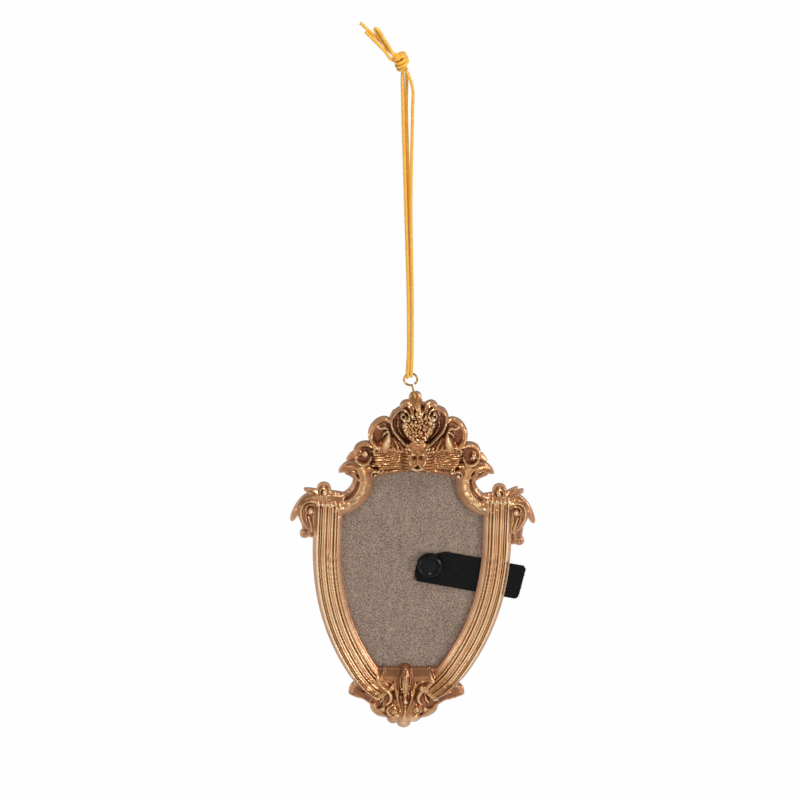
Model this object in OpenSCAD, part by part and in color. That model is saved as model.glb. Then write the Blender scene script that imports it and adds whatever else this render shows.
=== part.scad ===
// Miniature baroque picture frame, cast in resin, that hangs from a cord.
// Drawn in the frame's own axes: X across, Z up from its lowest point, Y back from the front.
// The flat back of the casting is Y = 0, so a carved height stands at a negative Y.
// The whole is then moved so that the origin is where the cord's loop is hung.

/* [Opening] */
// Width of the opening between the rails
opening_w = 45.6; // [42:0.2:50]
// Height of the opening from the sill to the top of the arch
opening_h = 72.9; // [66:0.1:80]
// Height of the sill above the frame's lowest point
sill_z = 23.2; // [22:0.1:25]
// Width of the arch at the top of the opening
arch_w = 26.8; // [24:0.2:29]
// Rise of the arch
arch_rise = 2.6; // [1:0.1:4]
// How far below the ends of the arch the hollow corner's centre lies
cove_drop = 1; // [0.4:0.1:2]
// Radius of the hollow corner on each shoulder
cove_r = 13; // [12:0.1:14.5]
// Width of the opening at the sill
sill_w = 19.2; // [16:0.2:22]

/* [Casting] */
// Width of the reeded rail
rail_w = 9.3; // [8.4:0.1:10]
// Height of the rail's tallest reed above the back
rail_h = 4.6; // [4.2:0.1:6]
// Height of the lip round the opening
ground_h = 2.5; // [2.4:0.1:3]
// Height of the sunk ground between the scrolls
hollow_h = 1.6; // [1.4:0.1:2.2]
// Width of the crest across its leaves
crest_w = 51; // [47:0.5:55]
// Height of the crest above its base
crest_h = 29.9; // [28:0.1:33]
// How far the crest sits to the right of the middle
crest_shift = 0.6; // [0:0.1:1.5]
// How far the shoulder leaves reach past the rails
shoulder_reach = 7.8; // [7:0.1:9]
// How far the foot ornament sits to the left of the middle
foot_shift = 0.6; // [0:0.1:1.5]

/* [Backing board] */
// Thickness of the board
board_t = 1; // [0.8:0.05:1.1]
// Depth of the rebate that the board lies in
rebate_d = 1.4; // [1.4:0.05:1.5]
// How far the rebate runs out past the opening
rebate_w = 1.8; // [1.2:0.1:2.4]
// Gap between the board's edge and the rebate
board_gap = 0.2; // [0.1:0.05:0.4]

/* [Strap and rivet] */
// Width of the webbing
strap_w = 12; // [9:0.5:13]
// Thickness of the webbing
strap_t = 0.7; // [0.5:0.05:0.8]
// Length of the strap past the rivet
strap_l = 31; // [27:0.5:40]
// Slope of the strap, downwards to the right
strap_slope = 11; // [6:1:15]
// Distance of the rivet from the middle of the opening
rivet_x = 6; // [4:0.2:9]
// Height of the rivet above the frame's lowest point
rivet_z = 61.6; // [56:0.2:64]
// How far the strap's middle line passes below the rivet
strap_drop = 0.9; // [0:0.1:1.4]
// Diameter of the rivet's head
rivet_d = 8.4; // [7:0.1:10]
// Diameter of the rivet's pin
pin_d = 2.4; // [1.8:0.1:3]

/* [Screw eye and cord] */
// Outer diameter of the eye
eye_d = 5; // [4.4:0.1:6]
// Diameter of the eye's wire
wire_d = 0.7; // [0.6:0.05:0.9]
// Length of the bare shank between the casting and the ring
shank_l = 4.7; // [4:0.1:5.4]
// Length of the screw inside the casting
screw_l = 4; // [3:0.1:5]
// Depth of the screw behind the carving's front, measured from the back
screw_h = 1.5; // [1.3:0.1:1.7]
// Diameter of the cord
cord_d = 1; // [0.8:0.05:1.1]

/* [Hidden] */

arch_z = sill_z + opening_h;
side_x = opening_w / 2;
cove_x = arch_w / 2 + cove_r;
cove_z = arch_z - arch_rise - cove_drop;
corner_z = cove_z - sqrt(cove_r * cove_r - (cove_x - side_x) * (cove_x - side_x));
// The crest's carving starts a little below the top of the arch
crest_z = arch_z - 1;
// The foot is drawn for this height of the sill and keeps its distance from it
foot_drawn_for = 23.2;
// The rail's sight edge leaves the upright here and bends in to the sill
bend_z = sill_z + opening_h * 0.66;
board_front = rebate_d;
board_back = rebate_d - board_t;
// Overlap that lets a cut pass through a face
cut = 0.5;
// The carving is drawn this far through the back, which is then ground flat
spare = 0.4;

gold = [0.80, 0.58, 0.36];
greige = [0.64, 0.57, 0.52];
black = [0.13, 0.13, 0.14];
brass = [0.80, 0.62, 0.28];
amber = [0.97, 0.68, 0.16];

function mix(a, b, t) = a + (b - a) * t;
function bezier(a, b, c, d, t) =
    mix(mix(mix(a, b, t), mix(b, c, t), t), mix(mix(b, c, t), mix(c, d, t), t), t);
function catmull(p, q, r, s, t) =
    0.5 * (2 * q + (r - p) * t + (2 * p - 5 * q + 4 * r - s) * t * t
           + (3 * q - p - 3 * r + s) * t * t * t);
// A smooth line through a few chosen points, with n steps between each two
function smooth(p, n) = concat(
    [for (i = [0 : len(p) - 2]) for (k = [0 : n - 1])
        catmull(p[max(i - 1, 0)], p[i], p[i + 1], p[min(i + 2, len(p) - 1)], k / n)],
    [p[len(p) - 1]]);
function unit(v) = v / max(norm(v), 1e-6);
function flat(p) = [p[0], p[1]];
function heading(s, i) = unit(flat(s[min(i + 1, len(s) - 1)]) - flat(s[max(i - 1, 0)]));
// A scroll: centre, start and end radius, start and end angle, half width and height
function scroll(c, r0, r1, a0, a1, w, h, n) =
    [for (i = [0 : n]) let (t = i / n, a = mix(a0, a1, t), r = mix(r0, r1, t))
        [c[0] + r * cos(a), c[1] + r * sin(a), mix(w[0], w[1], t), mix(h[0], h[1], t)]];

// Sections of a carved stroke: across in half widths, up in heights
full_section = [[-1, 0], [-0.9, 0.74], [0, 1], [0.9, 0.74], [1, 0]];
thin_section = [[-1, 0], [-0.6, 1], [0.6, 1], [1, 0]];
// A rolled edge: low on the outside, highest near the bowl that it encloses
rim_section = [[-1, 0], [-0.85, 0.8], [-0.4, 1], [1, 0.55], [1, 0]];

// A solid swept through the stations s, each [x, z, half width, height], from the flat back
module stroke(s, section) {
    k = len(section);
    n = len(s);
    points = [for (i = [0 : n - 1]) let (d = heading(s, i)) for (q = section)
        [s[i][0] - d[1] * s[i][2] * q[0], q[1] == 0 ? spare : -s[i][3] * q[1],
         s[i][1] + d[0] * s[i][2] * q[0]]];
    sides = [for (i = [0 : n - 2]) for (j = [0 : k - 1])
        [i * k + j, i * k + (j + 1) % k, (i + 1) * k + (j + 1) % k, (i + 1) * k + j]];
    first = [for (j = [0 : k - 1]) k - 1 - j];
    last = [for (j = [0 : k - 1]) (n - 1) * k + j];
    polyhedron(points, concat([first], sides, [last]), convexity = 8);
}

module band(p, n = 2) stroke(smooth(p, n), full_section);
module ridge(p) stroke(p, thin_section);
module rim(p) stroke(p, rim_section);

// A rounded boss standing on the back, of radius r and height h
module boss(x, z, r, h, sides = 9) {
    translate([x, 0, z])
        rotate([90, 0, 0])
            rotate_extrude($fn = sides)
                polygon([[0, -spare], [r, -spare], [r, h - 0.8 * r], [0.45 * r, h], [0, h]]);
}

// A petal or lock: a boss drawn out to a smaller one
module petal(x, z, r, h, reach, angle) {
    hull() {
        boss(x, z, r, h, 5);
        boss(x + reach * cos(angle), z + reach * sin(angle), r * 0.5, h * 0.85, 5);
    }
}

// A flat plate from the back up to height h, through chosen corners
module plate(p, h) {
    translate([0, spare, 0])
        rotate([90, 0, 0])
            linear_extrude(height = h + spare)
                polygon(p);
}

module both_sides() {
    children();
    mirror([1, 0, 0]) children();
}

// Right half of the opening, from the top of the arch round to the middle of the sill
function arch_line() = [for (i = [0 : 4]) let (t = i / 5) [arch_w / 2 * t, arch_z - arch_rise * t * t]];
function cove_line(r, steps) =
    let (last = atan2(corner_z - cove_z, side_x - cove_x))
    [for (i = [0 : steps]) let (a = mix(-180, last, i / steps)) [cove_x + r * cos(a), cove_z + r * sin(a)]];
function rail_line(steps) =
    [for (i = [0 : steps]) bezier([side_x, bend_z], [side_x + 0.3, bend_z - 21],
        [side_x - 5.2, sill_z + 12], [sill_w / 2, sill_z], i / steps)];
function half_opening() = concat(arch_line(), cove_line(cove_r, 7), rail_line(8));
function outline() =
    let (h = half_opening())
    concat(h, [for (i = [len(h) - 1 : -1 : 1]) [-h[i][0], h[i][1]]]);

// Past the lip the opening widens on a slope, more at the shoulders and the sill
function slope_at(p) =
    p[1] < sill_z + 0.5 ? 2.6
    : p[1] > cove_z - 0.1 ? 1.5
    : p[1] > corner_z - 0.5 ? 2.2
    : 1.15;
function outward(p, i) =
    let (n = len(p), d = unit(p[(i + 1) % n] - p[(i + n - 1) % n]))
    [-d[1], d[0]];
module opening_cut() {
    p = outline();
    n = len(p);
    lip = ground_h - 0.1;
    knee = rail_h - 0.7;
    // Each row: depth, and share of the slope's reach
    rows = [[cut, 0], [-lip, 0], [-knee, 1], [-2 * rail_h, 1.15]];
    points = [for (row = rows) for (i = [0 : n - 1])
        let (o = outward(p, i) * slope_at(p[i]) * row[1])
        [p[i][0] + o[0], row[0], p[i][1] + o[1]]];
    sides = [for (r = [0 : 2]) for (i = [0 : n - 1])
        [r * n + i, r * n + (i + 1) % n, (r + 1) * n + (i + 1) % n, (r + 1) * n + i]];
    polyhedron(points,
        concat([[for (i = [0 : n - 1]) n - 1 - i]], sides, [[for (i = [0 : n - 1]) 3 * n + i]]),
        convexity = 10);
}

// Across the rail from its outer edge to the opening: share of the width, share of the height.
// It runs a little past the opening's edge, which then trims it.
reeds = [[0, 0], [0, 0.58], [0.04, 0.67], [0.11, 0.72], [0.2, 0.73], [0.225, 0.66], [0.26, 0.8],
         [0.29, 0.83], [0.365, 0.75], [0.44, 0.93], [0.5, 0.93], [0.55, 0.82], [0.62, 1], [0.66, 1],
         [0.69, 0.86], [0.745, 0.96], [0.775, 0.84], [0.83, 0.96], [0.88, 0.8], [1.04, 0.54], [1.04, 0]];

// The reeded rail follows the sight edge and runs on below the sill
module rail() {
    line = concat([[side_x, corner_z + 6.2], [side_x, corner_z - 4]], rail_line(8),
        [[sill_w / 2 - 2.6, sill_z - 3.6], [sill_w / 2 - 5.0, sill_z - 6.6]]);
    n = len(line);
    k = len(reeds);
    points = [for (i = [0 : n - 1])
        let (d = heading(line, i), w = rail_w * (i < n - 3 ? 1 : mix(0.97, 0.72, (i - n + 3) / 2)))
        for (q = reeds)
            [line[i][0] - d[1] * w * (1 - q[0]), q[1] == 0 ? spare : -rail_h * q[1],
             line[i][1] + d[0] * w * (1 - q[0])]];
    sides = [for (i = [0 : n - 2]) for (j = [0 : k - 1])
        [i * k + j, (i + 1) * k + j, (i + 1) * k + (j + 1) % k, i * k + (j + 1) % k]];
    polyhedron(points, concat([[for (j = [0 : k - 1]) j]], sides, [[for (j = [0 : k - 1]) n * k - 1 - j]]),
        convexity = 10);
}

// The moulding that turns round the hollow of each shoulder
shoulder_section = [[0.5, -0.4], [0.5, 2.3], [0.55, 2.8], [0.6, 2.2], [0.66, 2.3], [0.68, 3.5],
                    [0.71, 3.5], [0.73, 3.1], [0.84, 3.7], [0.88, 3.4], [1.05, 2.2], [1.05, -0.4]];
module shoulder_moulding() {
    translate([cove_x, 0, cove_z])
        rotate([90, 0, 0])
            rotate([0, 0, 146])
                rotate_extrude(angle = 132, $fn = 38)
                    polygon(shoulder_section * cove_r * [[1, 0], [0, 1 / cove_r]]);
}

// Flowers and beads cut along the shoulder moulding
module shoulder_beads() {
    for (i = [0 : 4]) {
        a = 184 + i * 18;
        r = cove_r * 0.775;
        boss(cove_x + r * cos(a), cove_z + r * sin(a), 0.85, 4.1, 5);
    }
}

// Leaf, scroll, strands and curl at the side of each shoulder, drawn from the rail's outer edge.
// The curl at the bottom of the right one hangs lower.
module shoulder_ornament(curl_drop) {
    translate([side_x + rail_w, 0, corner_z + 1.2])
        scale([shoulder_reach / 7.8, 1, 1]) {
            plate([[-9, 0], [-0.8, -2], [-0.9, -8.2], [1.6, -9.6 - curl_drop], [3.6, -9.4 - curl_drop], [4, -5],
                   [5.4, -1], [5.2, 2.4], [2.6, 5.2], [-0.2, 6.5], [-5, 6.3], [-9, 5.2]], hollow_h);
            band([[-9.4, 4.9, 1.2, 3.0], [-4.6, 6.1, 1.2, 3.2], [0.4, 6.1, 1.25, 3.2], [3.2, 4.4, 1.3, 3.1],
                  [5.0, 1.8, 1.35, 2.9], [6.2, -1.0, 1.2, 2.6], [7.5, -3.2, 0.3, 2.3]], 1);
            ridge([[-8.6, 4.1, 0.4, 3.4], [0.8, 4.7, 0.45, 4.1], [3.4, 3.3, 0.5, 4.1], [5.0, -0.4, 0.4, 3.7]]);
            ridge([[-0.6, 2.2, 0.5, 3.4], [0.6, 3.4, 0.6, 3.8], [2.4, 3.0, 0.6, 4.0], [3.4, 1.0, 0.6, 4.0],
                   [3.2, -2.2, 0.65, 3.9], [1.6, -6.6, 0.5, 3.3]]);
            band([[4.5, 0, 0.8, 3.1], [4.2, -2.6, 0.8, 3.3], [3.4, -5, 0.7, 3.2], [2.4, -7.2, 0.6, 2.8]], 1);
            ridge(scroll([1.1, 0.6], 1.9, 0.7, 150, -150, [0.45, 0.4], [3.6, 4.4], 5));
            boss(1.1, 0.6, 0.7, 4.6, 5);
            ridge([[1.9, -1.4, 0.4, 3.9], [1.4, -4.0, 0.45, 3.9], [0.6, -7.6, 0.5, 3.2]]);
            ridge([[0.1, -0.6, 0.4, 3.8], [0.4, -3.2, 0.4, 3.7], [-0.3, -7.4, 0.45, 3.2]]);
            band([[1.0, -7.0 - curl_drop * 0.5, 0.9, 2.6], [1.3, -8.6 - curl_drop, 1.3, 2.8],
                  [0.6, -9.9 - curl_drop, 0.8, 2.4]], 1);
            boss(2.9, -8.7 - curl_drop, 0.8, 3.4, 5);
        }
}

// The snail that stands up on each shoulder
module knob(x) {
    translate([x, 0, corner_z + 8.9]) {
        band([[0.8, -3.4, 2.0, 2.6], [0.2, -1.4, 2.25, 3.6], [0, 0.2, 2.2, 4.3], [0, 1.5, 1.5, 3.9], [0, 2.2, 0.5, 3.2]], 1);
        ridge(scroll([0, 0.1], 1.5, 0.5, -60, 300, [0.42, 0.35], [4.5, 5.2], 5));
    }
}

// Horns beside the snails: the right one is forked
module horns() {
    translate([side_x + rail_w, 0, corner_z + 1.2]) {
        band([[-3.2, 5.8, 1.2, 2.9], [-1.2, 7.2, 1.0, 2.8], [0.3, 8.4, 0.8, 2.6], [1.3, 9.3, 0.3, 2.3]], 1);
        band([[-1.4, 6.4, 1.0, 2.8], [0.9, 7.2, 0.9, 2.7], [2.6, 8.0, 0.75, 2.5], [3.3, 8.4, 0.3, 2.3]], 1);
    }
    translate([-side_x - rail_w, 0, corner_z + 1.2])
        band([[3.0, 5.6, 1.3, 2.9], [0.6, 6.6, 1.4, 2.9], [-1.6, 7.4, 1.0, 2.7], [-3.4, 8.3, 0.25, 2.4]], 1);
}

// Crest strokes, with x from the crest's middle and z from its base
module crest_side() {
    // Leaf that closes the crest over each shoulder
    band([[14.5, 1.4, 1.5, 3.0], [18.6, 2.4, 1.9, 3.1], [21.6, 2.0, 1.8, 2.9], [23.6, 0.9, 1.2, 2.6],
          [25.0, -0.1, 0.35, 2.3]], 1);
    ridge([[23.6, -0.2, 0.35, 2.9], [21.6, 1.0, 0.4, 3.4], [19.4, 0.6, 0.45, 3.7], [17.6, -1.2, 0.4, 3.6]]);
    ridge([[15.2, 2.6, 0.45, 3.5], [16.8, 2.1, 0.5, 3.6], [17.5, -1.6, 0.45, 3.5]]);
    // Third lobe: a rolled edge that curls in on itself, with a pointed tip behind it
    rim([[12.6, 9.0, 0.6, 3.6], [14.8, 10.1, 0.8, 3.7], [17.4, 10.3, 0.95, 3.6], [19.4, 8.7, 1.0, 3.5],
         [19.7, 5.8, 0.85, 3.5], [17.6, 3.9, 0.6, 3.8], [15.6, 4.9, 0.5, 3.9], [15.1, 6.6, 0.4, 3.9]]);
    band([[18.6, 7.2, 1.3, 2.7], [20.6, 6.0, 1.2, 2.6], [22.6, 4.4, 0.35, 2.3]], 1);
    // Second lobe, with the curl at its head and the bowl inside it
    rim([[9.4, 18.8, 0.8, 3.0], [11.2, 19.4, 0.95, 3.1], [13.6, 18.0, 1.0, 3.5], [15.1, 15.3, 1.0, 3.9],
         [14.9, 12.5, 0.95, 4.0], [13.6, 10.8, 0.8, 4.0], [10.8, 9.3, 0.5, 3.8]]);
    ridge([[13.2, 17.2, 0.5, 3.3], [11.2, 16.9, 0.55, 3.7], [9.9, 16.4, 0.45, 3.6], [11.5, 14.2, 0.45, 3.2]]);
    // Leaf blades between the lobe and the cartouche
    band([[9.6, 14.8, 0.3, 3.4], [9.9, 12.8, 0.8, 3.9], [10.2, 10.8, 1.3, 4.1], [10.8, 9.0, 1.5, 3.9]], 1);
    ridge([[8.4, 11.7, 0.45, 3.0], [6.0, 9.4, 0.5, 3.8]]);
    // Heart-shaped edge of the cartouche, rolling over into a volute at the top
    ridge([[3.4, 10.9, 0.5, 3.9], [7.4, 15.4, 0.5, 4.3], [8.8, 19.0, 0.5, 4.3], [8.8, 21.9, 0.6, 4.0],
           [7.4, 23.7, 0.7, 3.8], [5.3, 23.5, 0.6, 3.9], [4.5, 22.2, 0.55, 4.1], [5.3, 21.0, 0.5, 4.4],
           [6.4, 21.6, 0.45, 4.5]]);
    band([[7.6, 23.8, 0.8, 3.0], [8.7, 22.2, 0.8, 3.1], [9.2, 19.8, 0.7, 3.2]], 1);
    ridge([[3.4, 13.2, 0.35, 3.0], [5.2, 15.0, 0.4, 3.4], [6.3, 17.4, 0.4, 3.5], [6.7, 19.6, 0.35, 3.3]]);
    // Small lobe beside the top
    rim([[2.1, 20.4, 0.45, 3.4], [1.9, 22.8, 0.6, 3.6], [2.4, 24.9, 0.8, 3.5], [3.6, 26.0, 0.9, 3.3],
         [4.8, 25.4, 0.8, 3.2], [5.1, 24.4, 0.5, 3.2]]);
    // Plain moulding over the arch, and the curls at its corner
    band([[-0.6, 2.2, 0.6, 3.4], [6.0, 1.7, 0.65, 3.4], [11.2, 0.6, 0.6, 3.3]], 1);
    ridge(scroll([13.6, 0.3], 1.5, 0.6, 150, -150, [0.45, 0.4], [3.3, 4.1], 5));
    boss(11.4, 1.9, 0.9, 3.8, 5);
}

// Reeded fan on each side of the mask, ending in a curl
module fan() {
    for (k = [0 : 3]) {
        near = 8.3 - 1.5 * k;
        far = 8.6 - 1.8 * k;
        ridge([[2.4, near, 0.5, 4.35], [7, mix(near, far, 0.5) + 0.25, 0.6, 4.25], [13.2 - 0.3 * k, far, 0.5, 3.4]]);
    }
    ridge([[9.6, 8.9, 0.5, 4.1], [12.6, 9.7, 0.6, 3.9], [14.2, 8.0, 0.6, 3.8], [13.9, 5.7, 0.5, 3.7],
           [12.7, 4.7, 0.45, 3.6]]);
}

// Lion's mask under the cartouche, with locks of mane round it
module mask() {
    band([[0, 1.4, 1.7, 3.7], [0, 3.4, 2.7, 4.6], [0, 6.2, 3.1, 5.0], [0, 8.8, 2.9, 4.9], [0, 10.8, 1.8, 4.3]]);
    both_sides() {
        for (k = [0 : 3])
            petal(2.7 * cos(42 * k - 50), 5.9 + 4.2 * sin(42 * k - 50), 0.7, 4.7, 1.3, 42 * k - 50);
        ridge([[2.4, 9.9, 0.35, 5.2], [1.4, 9.2, 0.42, 5.6], [0.5, 8.0, 0.35, 5.7]]);
        boss(1.35, 7.4, 0.62, 5.6, 5);
        boss(0.8, 4.7, 0.85, 5.9, 5);
        ridge([[2.4, 6.6, 0.5, 5.2], [2.2, 5.0, 0.5, 5.3], [1.6, 3.4, 0.4, 5.1]]);
    }
    ridge([[0, 8.9, 0.4, 5.6], [0, 6.8, 0.45, 6.1], [0, 5.2, 0.6, 6.3]]);
    boss(0, 2.8, 0.9, 5.4, 5);
}

// Heart of small flowers in the cartouche: how many stand in each row, from the bottom up
flower_rows = [1, 2, 3, 4, 4, 3];
module flowers() {
    plate([[0, 11.2], [2.6, 13.0], [4.6, 15.6], [5.5, 18.8], [4.2, 21], [1.8, 20.8], [0, 22.4],
           [-1.8, 20.8], [-4.2, 21], [-5.5, 18.8], [-4.6, 15.6], [-2.6, 13.0]], 3.0);
    for (row = [0 : len(flower_rows) - 1])
        for (k = [0 : flower_rows[row] - 1]) {
            x = (k - (flower_rows[row] - 1) / 2) * 2.05;
            boss(x, 12.5 + 1.55 * row, 0.93, 4.7 - 0.03 * x * x, 5);
        }
}

module crest() {
    translate([crest_shift, 0, crest_z])
        scale([crest_w / 51, 1, crest_h / 29.9]) {
            both_sides() {
                plate([[-0.7, -1], [12, -3.4], [17.5, -2.6], [20.4, 0.5], [19.8, 7], [18.2, 9.8], [15.4, 11],
                       [14.8, 15.6], [13, 18.4], [9.8, 19.2], [8.2, 22.8], [5.4, 23.8], [4, 25], [-0.7, 27]], hollow_h);
                crest_side();
                fan();
            }
            mask();
            flowers();
            // Twin top lobes and the stem below them
            band([[-0.4, 20.6, 0.7, 3.7], [-0.6, 23.0, 0.9, 3.8], [-0.8, 25.4, 0.9, 3.5]], 1);
            band([[-1.4, 24.6, 1.0, 3.2], [-2.4, 26.6, 1.4, 3.3], [-2.2, 28.4, 1.2, 3.0], [-1.8, 29.6, 0.4, 2.6]]);
            band([[-0.6, 24.4, 1.0, 3.2], [-0.1, 26.5, 1.4, 3.4], [-0.2, 28.4, 1.2, 3.1], [-0.5, 29.7, 0.4, 2.6]]);
        }
}

// Foot ornament, with x from its own middle and z from the frame's lowest point
module foot_side(reach) {
    // Curling leaf under the end of each rail
    plate([[6, 4.4], [9, 6.2], [11, 9], [14, 11], [17 + reach, 12.2], [17 + reach, 15], [14, 19], [6, 18]], hollow_h);
    rim([[9.4, 8.6, 0.6, 2.9], [12.0, 10.8, 0.7, 2.9], [15.0, 12.0, 0.75, 3.0], [17.6 + reach, 13.0, 0.5, 2.7]]);
    band([[17.6 + reach, 13.2, 0.5, 2.8], [17.0 + reach, 15.0, 0.7, 3.0], [15.7, 16.7, 0.7, 3.0], [14.4, 18.5, 0.6, 2.8]], 1);
    ridge([[10.9, 12.5, 0.45, 3.1], [13.6, 13.8, 0.5, 3.3], [15.8, 14.5, 0.4, 2.9]]);
    // Fluted bulb
    band([[10.2, 9.6, 0.9, 3.3], [9.2, 7.4, 1.5, 3.9], [7.4, 5.8, 1.5, 3.9], [5.2, 4.8, 1.0, 3.5]], 1);
    ridge([[6.4, 9.0, 0.4, 4.2], [8.6, 6.2, 0.4, 4.4]]);
    // Band that turns down from the sill
    band([[9.0, 20.6, 0.6, 3.8], [8.7, 18.8, 0.8, 4.3], [7.4, 16.8, 0.9, 4.5], [5.6, 15.2, 0.9, 4.6],
          [4.6, 13.2, 0.85, 4.6], [4.8, 11.2, 0.7, 4.4], [5.8, 9.8, 0.45, 4.1]], 1);
    ridge([[8.4, 19.4, 0.4, 4.3], [6.2, 18.9, 0.5, 4.3], [4.2, 18.6, 0.5, 4.3], [3.2, 16.4, 0.45, 4.4]]);
    ridge([[2.7, 20.6, 0.45, 4.7], [2.6, 17.6, 0.5, 4.9], [3.1, 14.4, 0.5, 4.7], [2.5, 11.0, 0.45, 4.3]]);
    ridge([[1.4, 15.0, 0.45, 4.6], [1.9, 12.0, 0.5, 4.5], [1.2, 9.0, 0.45, 4.2], [0.7, 6.4, 0.4, 3.8]]);
}

module foot() {
    translate([-foot_shift, 0, sill_z - foot_drawn_for]) {
        plate([[0, 1.4], [3, 2.6], [6.5, 4.3], [6.9, 7.9], [11, 12.1], [12, 19.4], [8.6, 21.8], [-8.6, 21.8],
               [-12, 19.4], [-11, 12], [-7, 8], [-6.5, 4.2], [-3, 2.6]], hollow_h);
        foot_side(1.4);
        mirror([1, 0, 0]) foot_side(0);
        // Scrolls beside the bud: the left one is the larger
        ridge(scroll([-3.4, 7.4], 2.7, 0.9, 60, 420, [0.6, 0.5], [3.9, 4.9], 7));
        boss(-3.4, 7.4, 1.0, 4.9, 6);
        ridge(scroll([4.2, 8.2], 1.9, 0.8, 120, -200, [0.5, 0.45], [3.9, 4.7], 5));
        boss(4.2, 8.2, 0.8, 4.7, 6);
        // Three lobes at the very bottom
        petal(-3.2, 4.6, 1.5, 3.5, 1.4, 245);
        petal(2.4, 5.2, 1.7, 3.5, 1.8, 300);
        petal(0.1, 2.35, 2.15, 3.8, 3.0, 90);
    }
}

// The fluted bud stands up into the opening, in front of the board
module bud() {
    translate([-foot_shift, 0, sill_z]) {
        band([[0, 1.0, 2.0, 5.6], [0, -1.2, 2.3, 6.0], [0, -3.8, 2.1, 5.9], [0.1, -7.2, 1.5, 5.3],
              [0.2, -10.4, 1.0, 4.7], [0.3, -13.6, 0.7, 4.2], [0.3, -16.4, 0.5, 3.7]], 1);
        for (x = [-1.35, 0, 1.35])
            ridge([[x, 0.8, 0.45, 5.9], [x * 1.15, -1.6, 0.5, 6.4], [x * 0.8, -6.2, 0.4, 5.7]]);
        boss(0.3, -11.6, 0.8, 5.3, 7);
        both_sides()
            band([[8.8, 0.4, 0.5, 2.8], [8.8, -1.4, 0.6, 3.4], [8.9, -3.0, 0.6, 3.9]], 1);
    }
}

// The strap's middle line leaves the rivet at this slope
module along_strap() {
    translate([rivet_x, 0, rivet_z - strap_drop])
        rotate([0, strap_slope, 0])
            children();
}

module screw_axis() {
    translate([crest_shift - 1.4, -screw_h, crest_z + crest_h - 1.6])
        rotate([0, -14, 0])
            children();
}

module frame() {
    slot_gap = 0.3;
    thread_gap = 0.03;
    color(gold)
        difference() {
            union() {
                difference() {
                    union() {
                        translate([0, spare, 0])
                            rotate([90, 0, 0])
                                linear_extrude(height = ground_h + spare)
                                    offset(delta = 3.2)
                                        polygon(outline());
                        both_sides() {
                            rail();
                            shoulder_moulding();
                            shoulder_beads();
                        }
                        shoulder_ornament(2);
                        mirror([1, 0, 0]) shoulder_ornament(0);
                        horns();
                        knob(side_x + 4.9);
                        mirror([1, 0, 0]) knob(side_x + 6.9);
                        crest();
                        foot();
                    }
                    opening_cut();
                }
                bud();
            }
            // Back ground flat
            translate([-100, 0, -50])
                cube([200, 5, 250]);
            // Rebate for the board
            translate([0, cut, 0])
                rotate([90, 0, 0])
                    linear_extrude(height = rebate_d + cut)
                        offset(delta = rebate_w)
                            polygon(outline());
            // Way out for the strap behind the right rail
            along_strap()
                translate([0, -rebate_d - strap_t - 0.1, -strap_w / 2 - slot_gap])
                    cube([strap_l + 20, rebate_d + strap_t + 0.1 + cut, strap_w + 2 * slot_gap]);
            screw_axis()
                translate([0, 0, -screw_l - 0.1])
                    cylinder(h = screw_l + 3, d = wire_d + 2 * thread_gap, $fn = 20);
        }
}

module backing_board() {
    color(greige)
        difference() {
            translate([0, -board_back, 0])
                rotate([90, 0, 0])
                    linear_extrude(height = board_t)
                        offset(delta = rebate_w - board_gap)
                            polygon(outline());
            translate([rivet_x, 0, rivet_z])
                rotate([90, 0, 0])
                    cylinder(h = 10, d = pin_d, center = true, $fn = 32);
        }
}

module strap() {
    color(black)
        difference() {
            along_strap()
                translate([0, -board_front, 0])
                    rotate([90, 0, 0])
                        linear_extrude(height = strap_t) {
                            intersection() {
                                circle(d = strap_w, $fn = 48);
                                translate([-strap_w * 0.42, -strap_w / 2])
                                    square([strap_w, strap_w]);
                            }
                            polygon([[0, -strap_w / 2], [strap_l - 0.8, -strap_w / 2],
                                     [strap_l - 0.3, 0], [strap_l, strap_w / 2], [0, strap_w / 2]]);
                        }
            translate([rivet_x, 0, rivet_z])
                rotate([90, 0, 0])
                    cylinder(h = 10, d = pin_d, center = true, $fn = 32);
        }
}

// Head with a raised rim round a dished middle, and the pin behind it
module rivet_cap() {
    head_h = 1.9;
    back = board_front + strap_t;
    color(black)
        translate([rivet_x, -back, rivet_z])
            rotate([90, 0, 0])
                rotate_extrude($fn = 64)
                    polygon([[0, -back + board_back], [pin_d / 2, -back + board_back], [pin_d / 2, 0],
                             [rivet_d / 2, 0], [rivet_d / 2, 0.7], [rivet_d / 2 - 0.35, head_h - 0.3],
                             [rivet_d / 2 - 0.8, head_h], [rivet_d * 0.36, head_h - 0.2],
                             [rivet_d * 0.3, head_h * 0.6], [rivet_d * 0.12, head_h * 0.66],
                             [0, head_h * 0.72]]);
}

module rivet_back() {
    flange_t = board_back;
    color(black)
        translate([rivet_x, -board_back, rivet_z])
            rotate([-90, 0, 0])
                cylinder(h = flange_t, d = rivet_d * 0.8, $fn = 64);
}

// Wire ring, open at one side, on a shank that screws into the crest
module screw_eye() {
    ring_r = (eye_d - wire_d) / 2;
    color(brass)
        screw_axis() {
            translate([0, 0, -screw_l])
                cylinder(h = screw_l + shank_l, d = wire_d, $fn = 24);
            translate([0, 0, shank_l + ring_r - 0.1])
                rotate([90, 0, 0])
                    rotate([0, 0, -90])
                        rotate_extrude(angle = -335, $fn = 64)
                            translate([ring_r, 0])
                                circle(d = wire_d, $fn = 24);
        }
}

// Where the ring's wire is highest, where the knot sits over it, and the point to hang it by
ring_top = [crest_shift - 1.4, -screw_h, crest_z + crest_h - 1.6]
    + (shank_l + eye_d - wire_d - 0.1) * [-sin(14), 0, cos(14)];
knot = ring_top + [-6.4, 0, 116.2];
hang = ring_top + [-5, 0, 111];
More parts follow.
